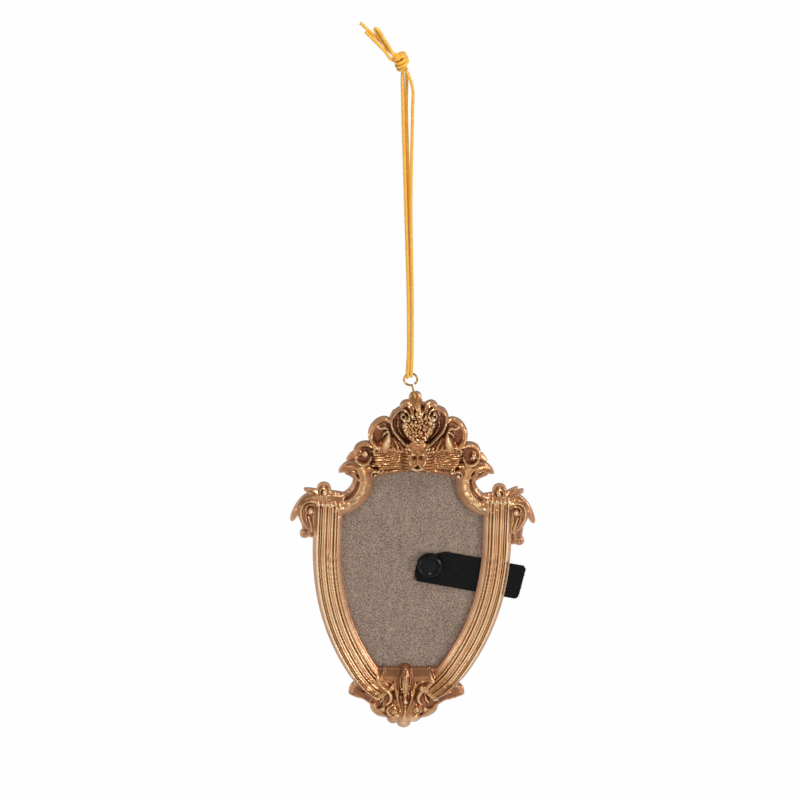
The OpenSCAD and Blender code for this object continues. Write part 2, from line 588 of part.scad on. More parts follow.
// The legs end on a flat under the knot, and the tails on a flat at its upper left
leg_end = 113.2;
tail_start = 3.3;
tail_lean = 49;

// A tube with eight sides through a list of points
function turn_at(p, i) = unit(p[min(i + 1, len(p) - 1)] - p[max(i - 1, 0)]);
module tube(p) {
    sides = 8;
    n = len(p);
    points = [for (i = [0 : n - 1])
        let (t = turn_at(p, i), a = unit(cross(t, [0.05, 1, 0.02])), b = cross(t, a))
        for (j = [0 : sides - 1])
            p[i] + (a * cos(360 * j / sides) + b * sin(360 * j / sides)) * cord_d / 2];
    walls = [for (i = [0 : n - 2]) for (j = [0 : sides - 1])
        [i * sides + j, (i + 1) * sides + j, (i + 1) * sides + (j + 1) % sides, i * sides + (j + 1) % sides]];
    polyhedron(points, concat([[for (j = [0 : sides - 1]) j]], walls,
        [[for (j = [0 : sides - 1]) n * sides - 1 - j]]), convexity = 8);
}

// Routes from the ring's top in millimetres: down the front, under the ring's wire, up the back
loop_left = [[-5.9, -0.8, 113.1], [-4.4, -0.8, 98], [-3.1, -0.8, 65], [-1.1, -0.8, 28], [-0.7, -1, 8],
             [-0.6, -1, 1], [-0.6, -0.97, -0.2], [-0.6, -0.7, -1], [-0.6, 0, -1.3], [-0.6, 0.7, -1],
             [-0.6, 0.97, -0.2], [-0.6, 1, 1], [-0.7, 1, 8], [-1.1, 0.8, 28], [-3.1, 0.8, 65],
             [-4.4, 0.8, 98], [-5.9, 0.8, 113.1]];
loop_right = [[-4.7, -0.8, 113.1], [-2.4, -0.8, 106], [-2.8, -0.8, 98], [-1.8, -0.8, 65], [0.3, -0.8, 28],
              [0.6, -1, 8], [0.6, -1, 1], [0.6, -0.97, 0.1], [0.6, -0.7, -0.65], [0.6, 0, -0.95],
              [0.6, 0.7, -0.65], [0.6, 0.97, 0.1], [0.6, 1, 1], [0.6, 1, 8], [0.3, 0.8, 28],
              [-1.8, 0.8, 65], [-3.2, 0.8, 98], [-4.7, 0.8, 113.1]];
tail_bight = [[-8.9, -1.2, 118.5], [-11, -1.3, 120.8], [-14.4, -1.2, 128.4], [-15, -0.6, 129.3],
              [-15.4, 0, 129.2], [-15.3, 0.4, 128.2], [-10.6, 0, 121.6], [-8.9, 0, 118.5]];
tail_long = [[-8.9, 1.2, 118.4], [-12, 1.2, 122.4], [-16, 1, 127.2], [-20, 1, 130.2]];
tail_short = [[-9.8, -0.6, 117.2], [-12.8, -0.8, 120.4], [-16, -0.9, 125.2], [-18.4, -1, 127.8]];

module cord(route) {
    color(amber)
        translate(ring_top)
            tube(route);
}

module cord_loop_left() cord(loop_left);
module cord_loop_right() cord(loop_right);
module cord_tail_bight() cord(tail_bight);
module cord_tail_long() cord(tail_long);
module cord_tail_short() cord(tail_short);

// Outer shape of the overhand knot that ties the four legs
module cord_knot() {
    color(amber)
        difference() {
            translate(knot)
                rotate([0, -20, 0])
                    scale([1, 0.9, 1.35])
                        sphere(d = 5.4, $fn = 24);
            translate(ring_top + [-20, -10, leg_end - 10])
                cube([30, 20, 10]);
            translate(knot)
                rotate([0, -tail_lean, 0])
                    translate([-10, -10, tail_start])
                        cube([20, 20, 10]);
        }
}

module hung() {
    translate(-hang) children();
}

hung() frame();
hung() backing_board();
hung() strap();
hung() rivet_cap();
hung() rivet_back();
hung() screw_eye();
hung() cord_loop_left();
hung() cord_loop_right();
hung() cord_knot();
hung() cord_tail_bight();
hung() cord_tail_long();
hung() cord_tail_short();
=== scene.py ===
import math
import bpy
import numpy as np
from mathutils import Matrix, Vector


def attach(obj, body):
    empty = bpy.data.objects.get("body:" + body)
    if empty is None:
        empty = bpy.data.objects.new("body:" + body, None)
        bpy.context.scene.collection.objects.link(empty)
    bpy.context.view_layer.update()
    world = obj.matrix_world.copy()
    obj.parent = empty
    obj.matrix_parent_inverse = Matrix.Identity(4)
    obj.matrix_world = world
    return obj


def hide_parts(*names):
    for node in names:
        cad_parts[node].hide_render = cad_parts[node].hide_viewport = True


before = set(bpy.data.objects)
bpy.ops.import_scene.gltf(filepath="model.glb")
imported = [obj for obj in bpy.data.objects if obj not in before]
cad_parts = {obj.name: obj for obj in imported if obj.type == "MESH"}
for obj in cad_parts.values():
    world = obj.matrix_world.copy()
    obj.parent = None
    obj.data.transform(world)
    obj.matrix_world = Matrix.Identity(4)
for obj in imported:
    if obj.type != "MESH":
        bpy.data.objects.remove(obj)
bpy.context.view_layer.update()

# The view. The ornament hangs upright and is seen from above its front, a little from the
# left. A level pale floor far below it shows white and takes a soft shadow.
hang_point = np.array([-7.9531, -1.5, 243.0356])   # in the casting's own millimetres


def place(points):
    """The casting's own millimetres to metres from the hanging point."""
    return (np.asarray(points, float) - hang_point) / 1000.0


view_down, view_turn, view_roll = math.radians(29.5), math.radians(3.43), math.radians(2.17)
picture_w, picture_right, picture_up, camera_away = 0.2589, -0.001521, 0.10563, 1.6
ahead = Vector((math.sin(view_turn) * math.cos(view_down), math.cos(view_turn) * math.cos(view_down),
                -math.sin(view_down)))
level = Vector((math.cos(view_turn), -math.sin(view_turn), 0))
up = Vector((math.sin(view_turn) * math.sin(view_down), math.cos(view_turn) * math.sin(view_down),
             math.cos(view_down)))
across = level * math.cos(view_roll) + up * math.sin(view_roll)
upward = up * math.cos(view_roll) - level * math.sin(view_roll)
camera_data = bpy.data.cameras.new("camera")
camera_data.type = "ORTHO"
camera_data.ortho_scale = picture_w
camera_data.clip_end = 20
camera = bpy.data.objects.new("camera", camera_data)
bpy.context.collection.objects.link(camera)
middle = Vector(place([0, 0, 0])) + across * picture_right + upward * picture_up
spot = middle - ahead * camera_away
camera.matrix_world = Matrix((
    (across.x, upward.x, -ahead.x, spot.x),
    (across.y, upward.y, -ahead.y, spot.y),
    (across.z, upward.z, -ahead.z, spot.z),
    (0, 0, 0, 1)))
bpy.context.scene.camera = camera
bpy.context.scene.view_settings.view_transform = "Standard"


def new_object(name, vertices, faces, smooth=True):
    mesh = bpy.data.meshes.new(name)
    mesh.from_pydata([tuple(v) for v in vertices], [], [tuple(int(i) for i in f) for f in faces])
    mesh.validate()
    piece = bpy.data.objects.new(name, mesh)
    bpy.context.collection.objects.link(piece)
    if smooth:
        mesh.shade_smooth()
    return piece


def new_material(name):
    """A material with its nodes, links and shader. Nodes made below go into the one made last."""
    material = bpy.data.materials.new(name)
    material.use_nodes = True
    tree = material.node_tree
    return material, tree.nodes, tree.links, tree.nodes["Principled BSDF"]


def painted(piece, material):
    """Give a piece this material and no other."""
    piece.data.materials.clear()
    piece.data.materials.append(material)


def calculated(operation, one, two=0.0):
    """One step of arithmetic on two values, each a number or a socket."""
    node = nodes.new("ShaderNodeMath")
    node.operation = operation
    for socket, value in zip(node.inputs, (one, two)):
        if isinstance(value, (int, float)):
            socket.default_value = value
        else:
            links.new(value, socket)
    return node.outputs[0]


def between(low, high, value):
    """Low where the value is 0, high where it is 1."""
    node = nodes.new("ShaderNodeMapRange")
    node.inputs["To Min"].default_value = low
    node.inputs["To Max"].default_value = high
    links.new(value, node.inputs["Value"])
    return node.outputs[0]


floor_z, floor_reach, floor_glow = -70, 4, 0.97
floor_level = place([0, 0, floor_z])[2]
floor_corners = [(floor_reach * x, floor_reach * y, floor_level) for x, y in ((-1, -1), (1, -1), (1, 1), (-1, 1))]
floor = new_object("floor", floor_corners, [(0, 1, 2, 3)], False)
floor_paint, nodes, links, shader = new_material("floor_paint")
shader.inputs["Base Color"].default_value = (0.9, 0.9, 0.9, 1)
shader.inputs["Roughness"].default_value = 0.9
shader.inputs["Specular IOR Level"].default_value = 0.1
shine = nodes.new("ShaderNodeEmission")
path = nodes.new("ShaderNodeLightPath")
seen = calculated("MAXIMUM", path.outputs["Is Camera Ray"], path.outputs["Is Glossy Ray"])
seen = calculated("MAXIMUM", seen, path.outputs["Is Transmission Ray"])
blend = nodes.new("ShaderNodeMixShader")
links.new(calculated("MULTIPLY", seen, floor_glow), blend.inputs["Fac"])
links.new(shader.outputs[0], blend.inputs[1])
links.new(shine.outputs[0], blend.inputs[2])
links.new(blend.outputs[0], nodes["Material Output"].inputs["Surface"])
painted(floor, floor_paint)

surround_light, surround_seen = 0.4, 1.0
world = bpy.data.worlds.new("studio")
bpy.context.scene.world = world
world.use_nodes = True
nodes, links = world.node_tree.nodes, world.node_tree.links
nodes["Background"].inputs["Color"].default_value = (1, 1, 1, 1)
path = nodes.new("ShaderNodeLightPath")
seen = calculated("MAXIMUM", path.outputs["Is Camera Ray"], path.outputs["Is Transmission Ray"])
links.new(between(surround_light, surround_seen, seen), nodes["Background"].inputs["Strength"])


def lamp(name, at, aim, size, power):
    data = bpy.data.lights.new(name, "AREA")
    data.shape = "RECTANGLE"
    data.size, data.size_y = size
    data.energy = power
    thing = bpy.data.objects.new(name, data)
    bpy.context.collection.objects.link(thing)
    thing.location = at
    thing.rotation_euler = (Vector(aim) - Vector(at)).to_track_quat("-Z", "Y").to_euler()


aim = place([0, 0, 80])
lamp("softbox_above", (0.05, -0.30, 0.75), aim, (0.34, 0.2), 4.6)
lamp("softbox_left", (-0.75, -0.5, -0.3), aim, (0.16, 0.5), 1.25)
lamp("softbox_right", (0.75, -0.5, -0.2), aim, (0.2, 0.5), 3.6)

# The cord. One length of amber satin cord, twisted from three strands. It is doubled twice
# through the eye, all four legs are tied in an overhand knot, and its fold and both ends
# stand out of the knot.
cord_radius, strand_pitch, cord_step = 0.56, 3.4, 0.3
ring_top = np.array([-2.9531, -1.5, 132.0356])
knot = ring_top + [-6.4, 0, 116.2]
loop_left = [[-5.9, -0.8, 113.1], [-5.3, -0.8, 98], [-3.4, -0.8, 65], [-1.3, -0.8, 28], [-0.6, -1, 8],
             [-0.6, -1, 1], [-0.6, -0.97, -0.2], [-0.6, -0.7, -1], [-0.6, 0, -1.3], [-0.6, 0.7, -1],
             [-0.6, 0.97, -0.2], [-0.6, 1, 1], [-0.5, 1, 8], [-1.2, 0.8, 28], [-3.2, 0.8, 65],
             [-5.0, 0.8, 98], [-5.9, 0.8, 113.1]]
loop_right = [[-4.7, -0.8, 113.1], [-2.5, -0.8, 107], [-2.2, -0.8, 98], [-1.6, -0.8, 65], [0.0, -0.8, 28],
              [0.6, -1, 8], [0.6, -1, 1], [0.6, -0.97, 0.1], [0.6, -0.7, -0.65], [0.6, 0, -0.95],
              [0.6, 0.7, -0.65], [0.6, 0.97, 0.1], [0.6, 1, 1], [0.6, 1, 8], [-0.1, 0.8, 28],
              [-2.2, 0.8, 65], [-4.1, 0.8, 98], [-4.7, 0.8, 113.1]]
tail_bight = [[-8.9, -0.9, 118.5], [-10.3, -0.9, 121.4], [-13.9, -0.8, 127.6], [-14.6, -0.6, 128.6],
              [-15.2, -0.3, 128.8], [-15.5, 0, 128.1], [-14.9, 0.1, 126.9], [-11.3, 0, 120.9], [-8.9, 0, 118.5]]
tail_long = [[-20, 0.5, 130.0], [-16.6, 0.5, 126.5], [-13.3, 0.6, 123.2], [-10.6, 0.9, 120.2], [-8.9, 1.1, 118.4]]
tail_short = [[-9.8, -0.6, 117.2], [-11.4, -0.6, 119.6], [-14.2, -0.5, 122.8], [-18.3, -0.4, 127.2]]
knot_lean, leg_out, waist_out, waist_turn = math.radians(20), 0.62, 2.2, 52
knot_up = np.array([-math.sin(knot_lean), 0, math.cos(knot_lean)])
knot_side = np.array([knot_up[2], 0, -knot_up[0]])
knot_front = np.array([0, -1.0, 0])


def tied(order):
    """A strand inside the knot, from a leg up the middle, once round the waist, to a tail."""
    turn = math.radians(90 * order + 45)
    inner = leg_out * (knot_side * math.cos(turn) + knot_front * math.sin(turn))
    level_here = 1.9 - 1.3 * order
    points = [knot + inner - knot_up * 1.6, knot + inner * 1.1 + knot_up * 0.4, knot + inner * 1.3 + knot_up * 2.3]
    for k in range(1, 8):
        angle = turn + math.radians(waist_turn * k)
        out = waist_out - 0.15 * abs(order - 1.5)
        high = level_here + (2.2 - level_here) * max(0, 1 - k / 2.5) + 0.25 * math.cos(angle)
        points.append(knot + out * (knot_side * math.cos(angle) + knot_front * math.sin(angle))
                      + knot_up * high)
    return [p - ring_top for p in points]


def even_curve(points, step):
    """A smooth line through the points, with its own points a step apart, and its length."""
    extended = np.vstack([2 * points[0] - points[1], points, 2 * points[-1] - points[-2]])
    fine = []
    for a, b, c, d in zip(extended, extended[1:], extended[2:], extended[3:]):
        knots = np.cumsum([0] + [max(np.linalg.norm(q - p), 1e-3) ** 0.5 for p, q in ((a, b), (b, c), (c, d))])
        count = max(2, int(np.linalg.norm(c - b) / 0.1))
        t = np.linspace(knots[1], knots[2], count, endpoint=False)[:, None]
        ab = (knots[1] - t) / (knots[1] - knots[0]) * a + (t - knots[0]) / (knots[1] - knots[0]) * b
        bc = (knots[2] - t) / (knots[2] - knots[1]) * b + (t - knots[1]) / (knots[2] - knots[1]) * c
        cd = (knots[3] - t) / (knots[3] - knots[2]) * c + (t - knots[2]) / (knots[3] - knots[2]) * d
        abc = (knots[2] - t) / (knots[2] - knots[0]) * ab + (t - knots[0]) / (knots[2] - knots[0]) * bc
        bcd = (knots[3] - t) / (knots[3] - knots[1]) * bc + (t - knots[1]) / (knots[3] - knots[1]) * cd
        fine.append((knots[2] - t) / (knots[2] - knots[1]) * abc + (t - knots[1]) / (knots[2] - knots[1]) * bcd)
    fine = np.vstack(fine + [points[-1:]])
    along = np.concatenate([[0], np.cumsum(np.linalg.norm(np.diff(fine, axis=0), axis=1))])
    even = np.linspace(0, along[-1], int(along[-1] / step) + 1)
    line = np.stack([np.interp(even, along, fine[:, i]) for i in range(3)], 1)
    for _ in range(8):                     # a cord can't bend sharply
        line[1:-1] = line[1:-1] / 2 + (line[:-2] + line[2:]) / 4
    return line, np.linalg.norm(np.diff(line, axis=0), axis=1).sum()


def sweep(line, outline_at):
    """Rings of points round a line, kept from twisting; outline_at gives each ring's radii and turn."""
    ahead_of = np.gradient(line, axis=0)
    ahead_of /= np.linalg.norm(ahead_of, axis=1)[:, None]
    side = np.cross(ahead_of[0], [0.05, 1, 0.02])
    rings = []
    for i, (point, direction) in enumerate(zip(line, ahead_of)):
        side = side - direction * side.dot(direction)
        side /= np.linalg.norm(side)
        other = np.cross(direction, side)
        radius, angle = outline_at(i)
        rings.append(point + radius[:, None] * (np.cos(angle)[:, None] * side + np.sin(angle)[:, None] * other))
    count = len(rings[0])
    vertices = np.vstack(rings + [line[:1], line[-1:]])
    i, j = np.meshgrid(np.arange(len(rings) - 1), np.arange(count), indexing="ij")
    k = (j + 1) % count
    quads = np.stack([i * count + j, i * count + k, (i + 1) * count + k, (i + 1) * count + j], -1)
    faces = quads.reshape(-1, 4).tolist()
    first, last, base = len(vertices) - 2, len(vertices) - 1, (len(rings) - 1) * count
    faces += [[first, (n + 1) % count, n] for n in range(count)]
    faces += [[last, base + n, base + (n + 1) % count] for n in range(count)]
    return vertices, faces


under_ring = 8                             # the left loop's lowest point, where the making starts
cord_routes = {
    "satin_cord_to_long_end": loop_left[under_ring::-1] + tied(0) + tail_long[::-1],
    "satin_cord_to_short_end": (loop_left[under_ring:] + tied(1) + tail_bight[::-1] + tied(2)[::-1]
                                + loop_right + tied(3) + tail_short)}
cord_round = np.arange(15) / 15 * 2 * math.pi

# Fine uneven spots, for the paints of the cord, eye, casting, board and rivet
mottling = bpy.data.node_groups.new("mottling", "ShaderNodeTree")
for name, value in (("Scale", 900.0), ("Detail", 2.0), ("Length", 1.0)):
    mottling.interface.new_socket(name, in_out="INPUT", socket_type="NodeSocketFloat").default_value = value
mottling.interface.new_socket("Value", in_out="OUTPUT", socket_type="NodeSocketFloat")
nodes, links = mottling.nodes, mottling.links
given, result = nodes.new("NodeGroupInput"), nodes.new("NodeGroupOutput")
where, drawn_out = nodes.new("ShaderNodeTexCoord"), nodes.new("ShaderNodeCombineXYZ")
drawn_out.inputs["X"].default_value = drawn_out.inputs["Y"].default_value = 1
links.new(given.outputs["Length"], drawn_out.inputs["Z"])
shorter, noise = nodes.new("ShaderNodeVectorMath"), nodes.new("ShaderNodeTexNoise")
shorter.operation = "DIVIDE"
links.new(where.outputs["Object"], shorter.inputs[0])
links.new(drawn_out.outputs[0], shorter.inputs[1])
links.new(shorter.outputs[0], noise.inputs["Vector"])
links.new(given.outputs["Scale"], noise.inputs["Scale"])
links.new(given.outputs["Detail"], noise.inputs["Detail"])
links.new(noise.outputs[0], result.inputs["Value"])


def mottled(scale, detail=2.0, length=1.0):
    """Fine spots in the object's own coordinates, drawn out along z by length."""
    group = nodes.new("ShaderNodeGroup")
    group.node_tree = mottling
    for name, value in (("Scale", scale), ("Detail", detail), ("Length", length)):
        group.inputs[name].default_value = value
    return group.outputs["Value"]


def ramp(value, stops):
    """A colour that passes through the stops as the value rises."""
    node = nodes.new("ShaderNodeValToRGB")
    while len(node.color_ramp.elements) < len(stops):
        node.color_ramp.elements.new(0.5)
    for element, (position, colour) in zip(node.color_ramp.elements, stops):
        element.position = position
        element.color = (*colour, 1)
    links.new(value, node.inputs[0])
    return node.outputs[0]


def bumped(value, strength, distance):
    """Let the value rise and fall in the surface, by this many metres."""
    node = nodes.new("ShaderNodeBump")
    node.inputs["Strength"].default_value = strength
    node.inputs["Distance"].default_value = distance
    links.new(value, node.inputs["Height"])
    links.new(node.outputs[0], shader.inputs["Normal"])


cord_satin, nodes, links, shader = new_material("cord_satin")
threads = mottled(900)
amber = ramp(threads, [(0.3, (0.98, 0.43, 0.016)), (0.55, (1.0, 0.53, 0.03)), (0.75, (1.0, 0.64, 0.09))])
links.new(amber, shader.inputs["Base Color"])
shader.inputs["Roughness"].default_value = 0.38
shader.inputs["Sheen Weight"].default_value = 0.4
bumped(threads, 0.15, 0.0001)


def three_strands(i):
    """Radii and turn of the cord's ring i: three strands, a little wider at the cut end."""
    flare = 1 + 0.18 * math.exp((i - rings_of_cord + 1) / 2)
    return (cord_radius * flare * (0.9 + 0.1 * np.abs(np.cos(1.5 * cord_round))),
            cord_round + i * cord_step / strand_pitch * 2 * math.pi)


for name, route in cord_routes.items():
    cord_line, cord_length = even_curve(np.array(route) + ring_top, cord_step)
    rings_of_cord = len(cord_line)
    vertices, faces = sweep(cord_line, three_strands)
    cord = new_object(name, place(vertices), faces)
    painted(cord, cord_satin)
    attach(cord, "root")
    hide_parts("cord_loop_left", "cord_loop_right", "cord_knot",
                "cord_tail_bight", "cord_tail_long", "cord_tail_short")

# The screw eye. A gilt wire bent into a ring that is open at one side, on a shank that is
# screwed into the top of the crest. Its gilding is worn in small spots.
eye_gilt, nodes, links, shader = new_material("eye_gilt")
wear = mottled(700)
gilding = ramp(wear, [(0.35, (0.34, 0.19, 0.045)), (0.65, (0.66, 0.42, 0.14))])
links.new(gilding, shader.inputs["Base Color"])
links.new(between(0.18, 0.34, wear), shader.inputs["Roughness"])
shader.inputs["Metallic"].default_value = 1.0
painted(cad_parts["screw_eye"], eye_gilt)

# The frame. One resin casting with a flat back, carved all over its front, painted copper
# gold and washed with brown that stays in the hollows. Its raised parts, ridges and rails are
# painted paler, a painted highlight. Heights are millimetres above the back.
step = 0.2
west, east, south, north = -41.4, 42.0, -0.6, 126.2
opening_w, opening_h, sill_z, sill_w = 45.6, 72.9, 23.2, 19.2
arch_w, arch_rise, cove_drop, cove_r = 26.8, 2.6, 1.0, 13.0
rail_w, rail_h, lip_h, hollow_h = 9.3, 4.6, 2.5, 1.6
side_x, arch_z = opening_w / 2, sill_z + opening_h
cove_x, cove_z = arch_w / 2 + cove_r, arch_z - arch_rise - cove_drop
corner_z = cove_z - math.sqrt(cove_r ** 2 - (cove_x - side_x) ** 2)
bend_z = sill_z + opening_h * 0.66
grid_x, grid_z = np.meshgrid(np.arange(west, east, step), np.arange(south, north, step))
height = np.zeros(grid_x.shape)
inside = np.full(grid_x.shape, -9.0)     # how far a point lies inside the casting's edge


def bezier(a, b, c, d, t):
    """The point at t of a curve from a to d that b and c pull on."""
    a, b, c, d = map(np.array, (a, b, c, d))
    return a * (1 - t) ** 3 + 3 * b * t * (1 - t) ** 2 + 3 * c * t * t * (1 - t) + d * t ** 3


last_turn = math.degrees(math.atan2(corner_z - cove_z, side_x - cove_x))
arch_half = [[arch_w / 2 * i / 8, arch_z - arch_rise * (i / 8) ** 2] for i in range(9)]
cove_turns = [math.radians(-180 + (last_turn + 180) * i / 24) for i in range(25)]
cove_half = [[cove_x + cove_r * math.cos(a), cove_z + cove_r * math.sin(a)] for a in cove_turns]
rail_half = [list(bezier([side_x, bend_z], [side_x + 0.3, bend_z - 21], [side_x - 5.2, sill_z + 12],
                         [sill_w / 2, sill_z], i / 28)) for i in range(29)]
opening_half = arch_half + cove_half + rail_half
opening_line = np.array(opening_half + [[-x, z] for x, z in reversed(opening_half[1:])])


def depth_inside(corners, x, z):
    """Distance to a closed outline, positive inside it."""
    corners = np.array(corners)
    nearest = np.full(x.shape, 1e9)
    odd = np.zeros(x.shape, bool)
    for (x0, z0), (x1, z1) in zip(corners, np.roll(corners, -1, 0)):
        dx, dz = x1 - x0, z1 - z0
        t = np.clip(((x - x0) * dx + (z - z0) * dz) / max(dx * dx + dz * dz, 1e-9), 0, 1)
        nearest = np.minimum(nearest, (x - x0 - t * dx) ** 2 + (z - z0 - t * dz) ** 2)
        if z0 != z1:
            odd ^= ((z0 > z) != (z1 > z)) & (x < (z - z0) * dx / dz + x0)
    return np.where(odd, 1, -1) * np.sqrt(nearest)


def through(points, n):
    """A smooth line through stations, n steps between each two."""
    p = np.array(points, float)
    line = []
    for i in range(len(p) - 1):
        a, b, c, d = p[max(i - 1, 0)], p[i], p[i + 1], p[min(i + 2, len(p) - 1)]
        for k in range(n):
            t = k / n
            line.append(0.5 * (2 * b + (c - a) * t + (2 * a - 5 * b + 4 * c - d) * t * t
                               + (3 * b - a - 3 * c + d) * t ** 3))
    return line + [p[-1]]


def window(x0, x1, z0, z1):
    """The part of the grid between these sides, so that a small form costs little time."""
    return (slice(max(int((z0 - south) / step), 0), max(int((z1 - south) / step) + 2, 0)),
            slice(max(int((x0 - west) / step), 0), max(int((x1 - west) / step) + 2, 0)))


# Sections of a stroke: across in half widths, from the left of its travel to the right, and
# the part of its height there
dome = [(-1, .36), (-.85, .62), (-.5, .89), (0, 1), (.5, .89), (.85, .62), (1, .36)]
rolled = [(-1, .45), (-.85, .82), (-.6, .98), (-.4, 1), (-.1, .92), (.3, .76), (.7, .62), (1, .45)]
squared = [(-1, .74), (-.9, .87), (-.6, .97), (0, 1), (.6, .97), (.9, .87), (1, .74)]
cordlike = [(-1, .55), (-.7, .8), (-.3, .97), (0, 1), (.3, .97), (.7, .8), (1, .55)]
blade = [(-1, .5), (-.5, .78), (0, 1), (.5, .78), (1, .5)]
veined = [(-1, .5), (-.75, .84), (-.45, .95), (-.3, .84), (-.12, .97), (0, .84), (.12, .97), (.3, .84), (.45, .95),
          (.75, .84), (1, .5)]


def stroke(points, section, at=(0, 0), side=1, n=5, butt=False):
    """Carve along stations x, z, half width, height. side -1 mirrors it, butt cuts its ends square."""
    s = np.array(through(points, n))
    s[:, 0] = at[0] + side * s[:, 0]
    s[:, 1] = at[1] + s[:, 1]
    wide = s[:, 2].max()
    area = window(s[:, 0].min() - wide, s[:, 0].max() + wide, s[:, 1].min() - wide, s[:, 1].max() + wide)
    x, z = grid_x[area], grid_z[area]
    if x.size == 0:
        return
    near, offset = np.full(x.shape, 1e9), np.zeros(x.shape)
    half, tall, past = np.ones(x.shape), np.zeros(x.shape), np.zeros(x.shape, bool)
    for i, (p, q) in enumerate(zip(s[:-1], s[1:])):
        dx, dz = q[0] - p[0], q[1] - p[1]
        length = math.hypot(dx, dz)
        if length < 1e-6:
            continue
        raw = ((x - p[0]) * dx + (z - p[1]) * dz) / length ** 2
        t = np.clip(raw, 0, 1)
        d = np.hypot(x - p[0] - t * dx, z - p[1] - t * dz)
        w = p[2] + (q[2] - p[2]) * t
        better = d / w < near
        near = np.where(better, d / w, near)
        sign = np.where(dx * (z - p[1]) - dz * (x - p[0]) > 0, -side, side)
        offset = np.where(better, sign * d / w, offset)
        half = np.where(better, w, half)
        tall = np.where(better, p[3] + (q[3] - p[3]) * t, tall)
        beyond = (raw < 0) & (i == 0) | (raw > 1) & (i == len(s) - 2)
        past = np.where(better, beyond, past)
    value = tall * np.interp(offset, [a for a, b in section], [b for a, b in section])
    ok = near <= 1
    if butt:
        ok &= ~past
    height[area] = np.where(ok, np.maximum(height[area], value), height[area])
    edge = np.where(past & butt, -9.0, (1 - near) * half)
    inside[area] = np.maximum(inside[area], edge)


def ground(corners, h, at=(0, 0), side=1):
    """Raise all inside the corners to a height, as the bed of finer forms."""
    d = depth_inside([(at[0] + side * x, at[1] + z) for x, z in corners], grid_x, grid_z)
    height[:] = np.where(d > 0, np.maximum(height, h), height)
    inside[:] = np.maximum(inside, d)


def bead(x, z, r, h, at=(0, 0), side=1, petals=0, turn=0.0):
    """A round bead with its top at h, or a flower with petals."""
    x0, z0 = at[0] + side * x, at[1] + z
    area = window(x0 - r, x0 + r, z0 - r, z0 + r)
    dx, dz = grid_x[area] - x0, grid_z[area] - z0
    d = np.hypot(dx, dz)
    reach = r * (0.78 + 0.22 * np.cos(petals * (np.arctan2(dz, dx) + turn))) if petals else r
    value = h - r * 0.9 * (1 - np.sqrt(np.clip(1 - (d / reach) ** 2, 0, 1)))
    if petals:
        value = value - 0.35 * r * np.exp(-((d - 0.42 * r) / (0.14 * r)) ** 2)
    height[area] = np.where(d < reach, np.maximum(height[area], value), height[area])
    inside[area] = np.maximum(inside[area], reach - d)


def sink(x, z, r, depth, at=(0, 0), side=1):
    """Press a soft hollow into what is carved there."""
    d = np.hypot(grid_x - at[0] - side * x, grid_z - at[1] - z) / r
    height[:] = np.where(d < 2.2, height - depth * np.exp(-d * d * 1.4), height)


def spiral(centre, r0, r1, a0, a1, w, h, n=24):
    """Stations of a stroke that curls from radius r0 at a0 degrees to r1 at a1."""
    t = np.linspace(0, 1, n + 1)
    a, r = np.radians(a0 + (a1 - a0) * t), r0 + (r1 - r0) * t
    return np.stack([centre[0] + r * np.cos(a), centre[1] + r * np.sin(a),
                     w[0] + (w[1] - w[0]) * t, h[0] + (h[1] - h[0]) * t], 1)


# Lip round the opening, then the reeded rails. Reeds: the part of the rail's width from the
# opening, and the part of its height there
from_opening = -depth_inside(opening_line, grid_x, grid_z)
lip_w = 3.2
height[:] = np.where((from_opening > -1) & (from_opening < lip_w), lip_h, 0)
inside[:] = np.maximum(inside, np.where(from_opening > -1, lip_w - from_opening, -9))
reeds = [(-.02, .5), (.03, .56), (.09, .68), (.13, .72), (.165, .82), (.18, .80), (.195, .62), (.215, .80),
         (.25, .92), (.28, .86), (.30, .62), (.325, .84), (.36, .92), (.387, .94), (.405, .76), (.42, .90),
         (.44, .94), (.465, .78), (.49, .92), (.516, .97), (.535, .90), (.55, .66), (.57, .92), (.60, .98),
         (.625, .98), (.65, .84), (.675, .97), (.70, 1.0), (.715, .94), (.73, .68), (.75, .95), (.765, .97),
         (.78, .90), (.797, .66), (.82, .95), (.855, .98), (.88, .88), (.905, .70), (.94, .64), (1.02, .55)]
reed_section = [(1 - 2 * a, 1 - .92 * (1 - b) if .15 < a < .93 else b) for a, b in reversed(reeds)]
for side, top in ((1, 86.0), (-1, 84.6)):
    line = [[side_x, top], [side_x, corner_z + 2], [side_x, bend_z + 4]] + rail_half[::2]
    line += [[sill_w / 2 - 2.7, sill_z - 3.4], [sill_w / 2 - 5.6, sill_z - 6.8]]
    stations = []
    for i, p in enumerate(line):
        a, b = line[max(i - 1, 0)], line[min(i + 1, len(line) - 1)]
        d = np.array([b[0] - a[0], b[1] - a[1]])
        d /= np.linalg.norm(d)
        w = rail_w * (1 if i < len(line) - 2 else .96 if i == len(line) - 2 else .8)
        stations.append([p[0] - d[1] * w / 2, p[1] + d[0] * w / 2, w / 2, rail_h])
    stroke(stations, reed_section, side=side, n=4, butt=True)
    for k in range(6):
        bead(side_x + 1.1 + 1.42 * k, top - .35 + .15 * (k % 2), .58 + .08 * (k % 3), 4.4, side=side)
    for k in range(5):
        bead(4.9 + 1.16 * k, 16.3 - .98 * k, .95, 4.7 - .12 * k, side=side)

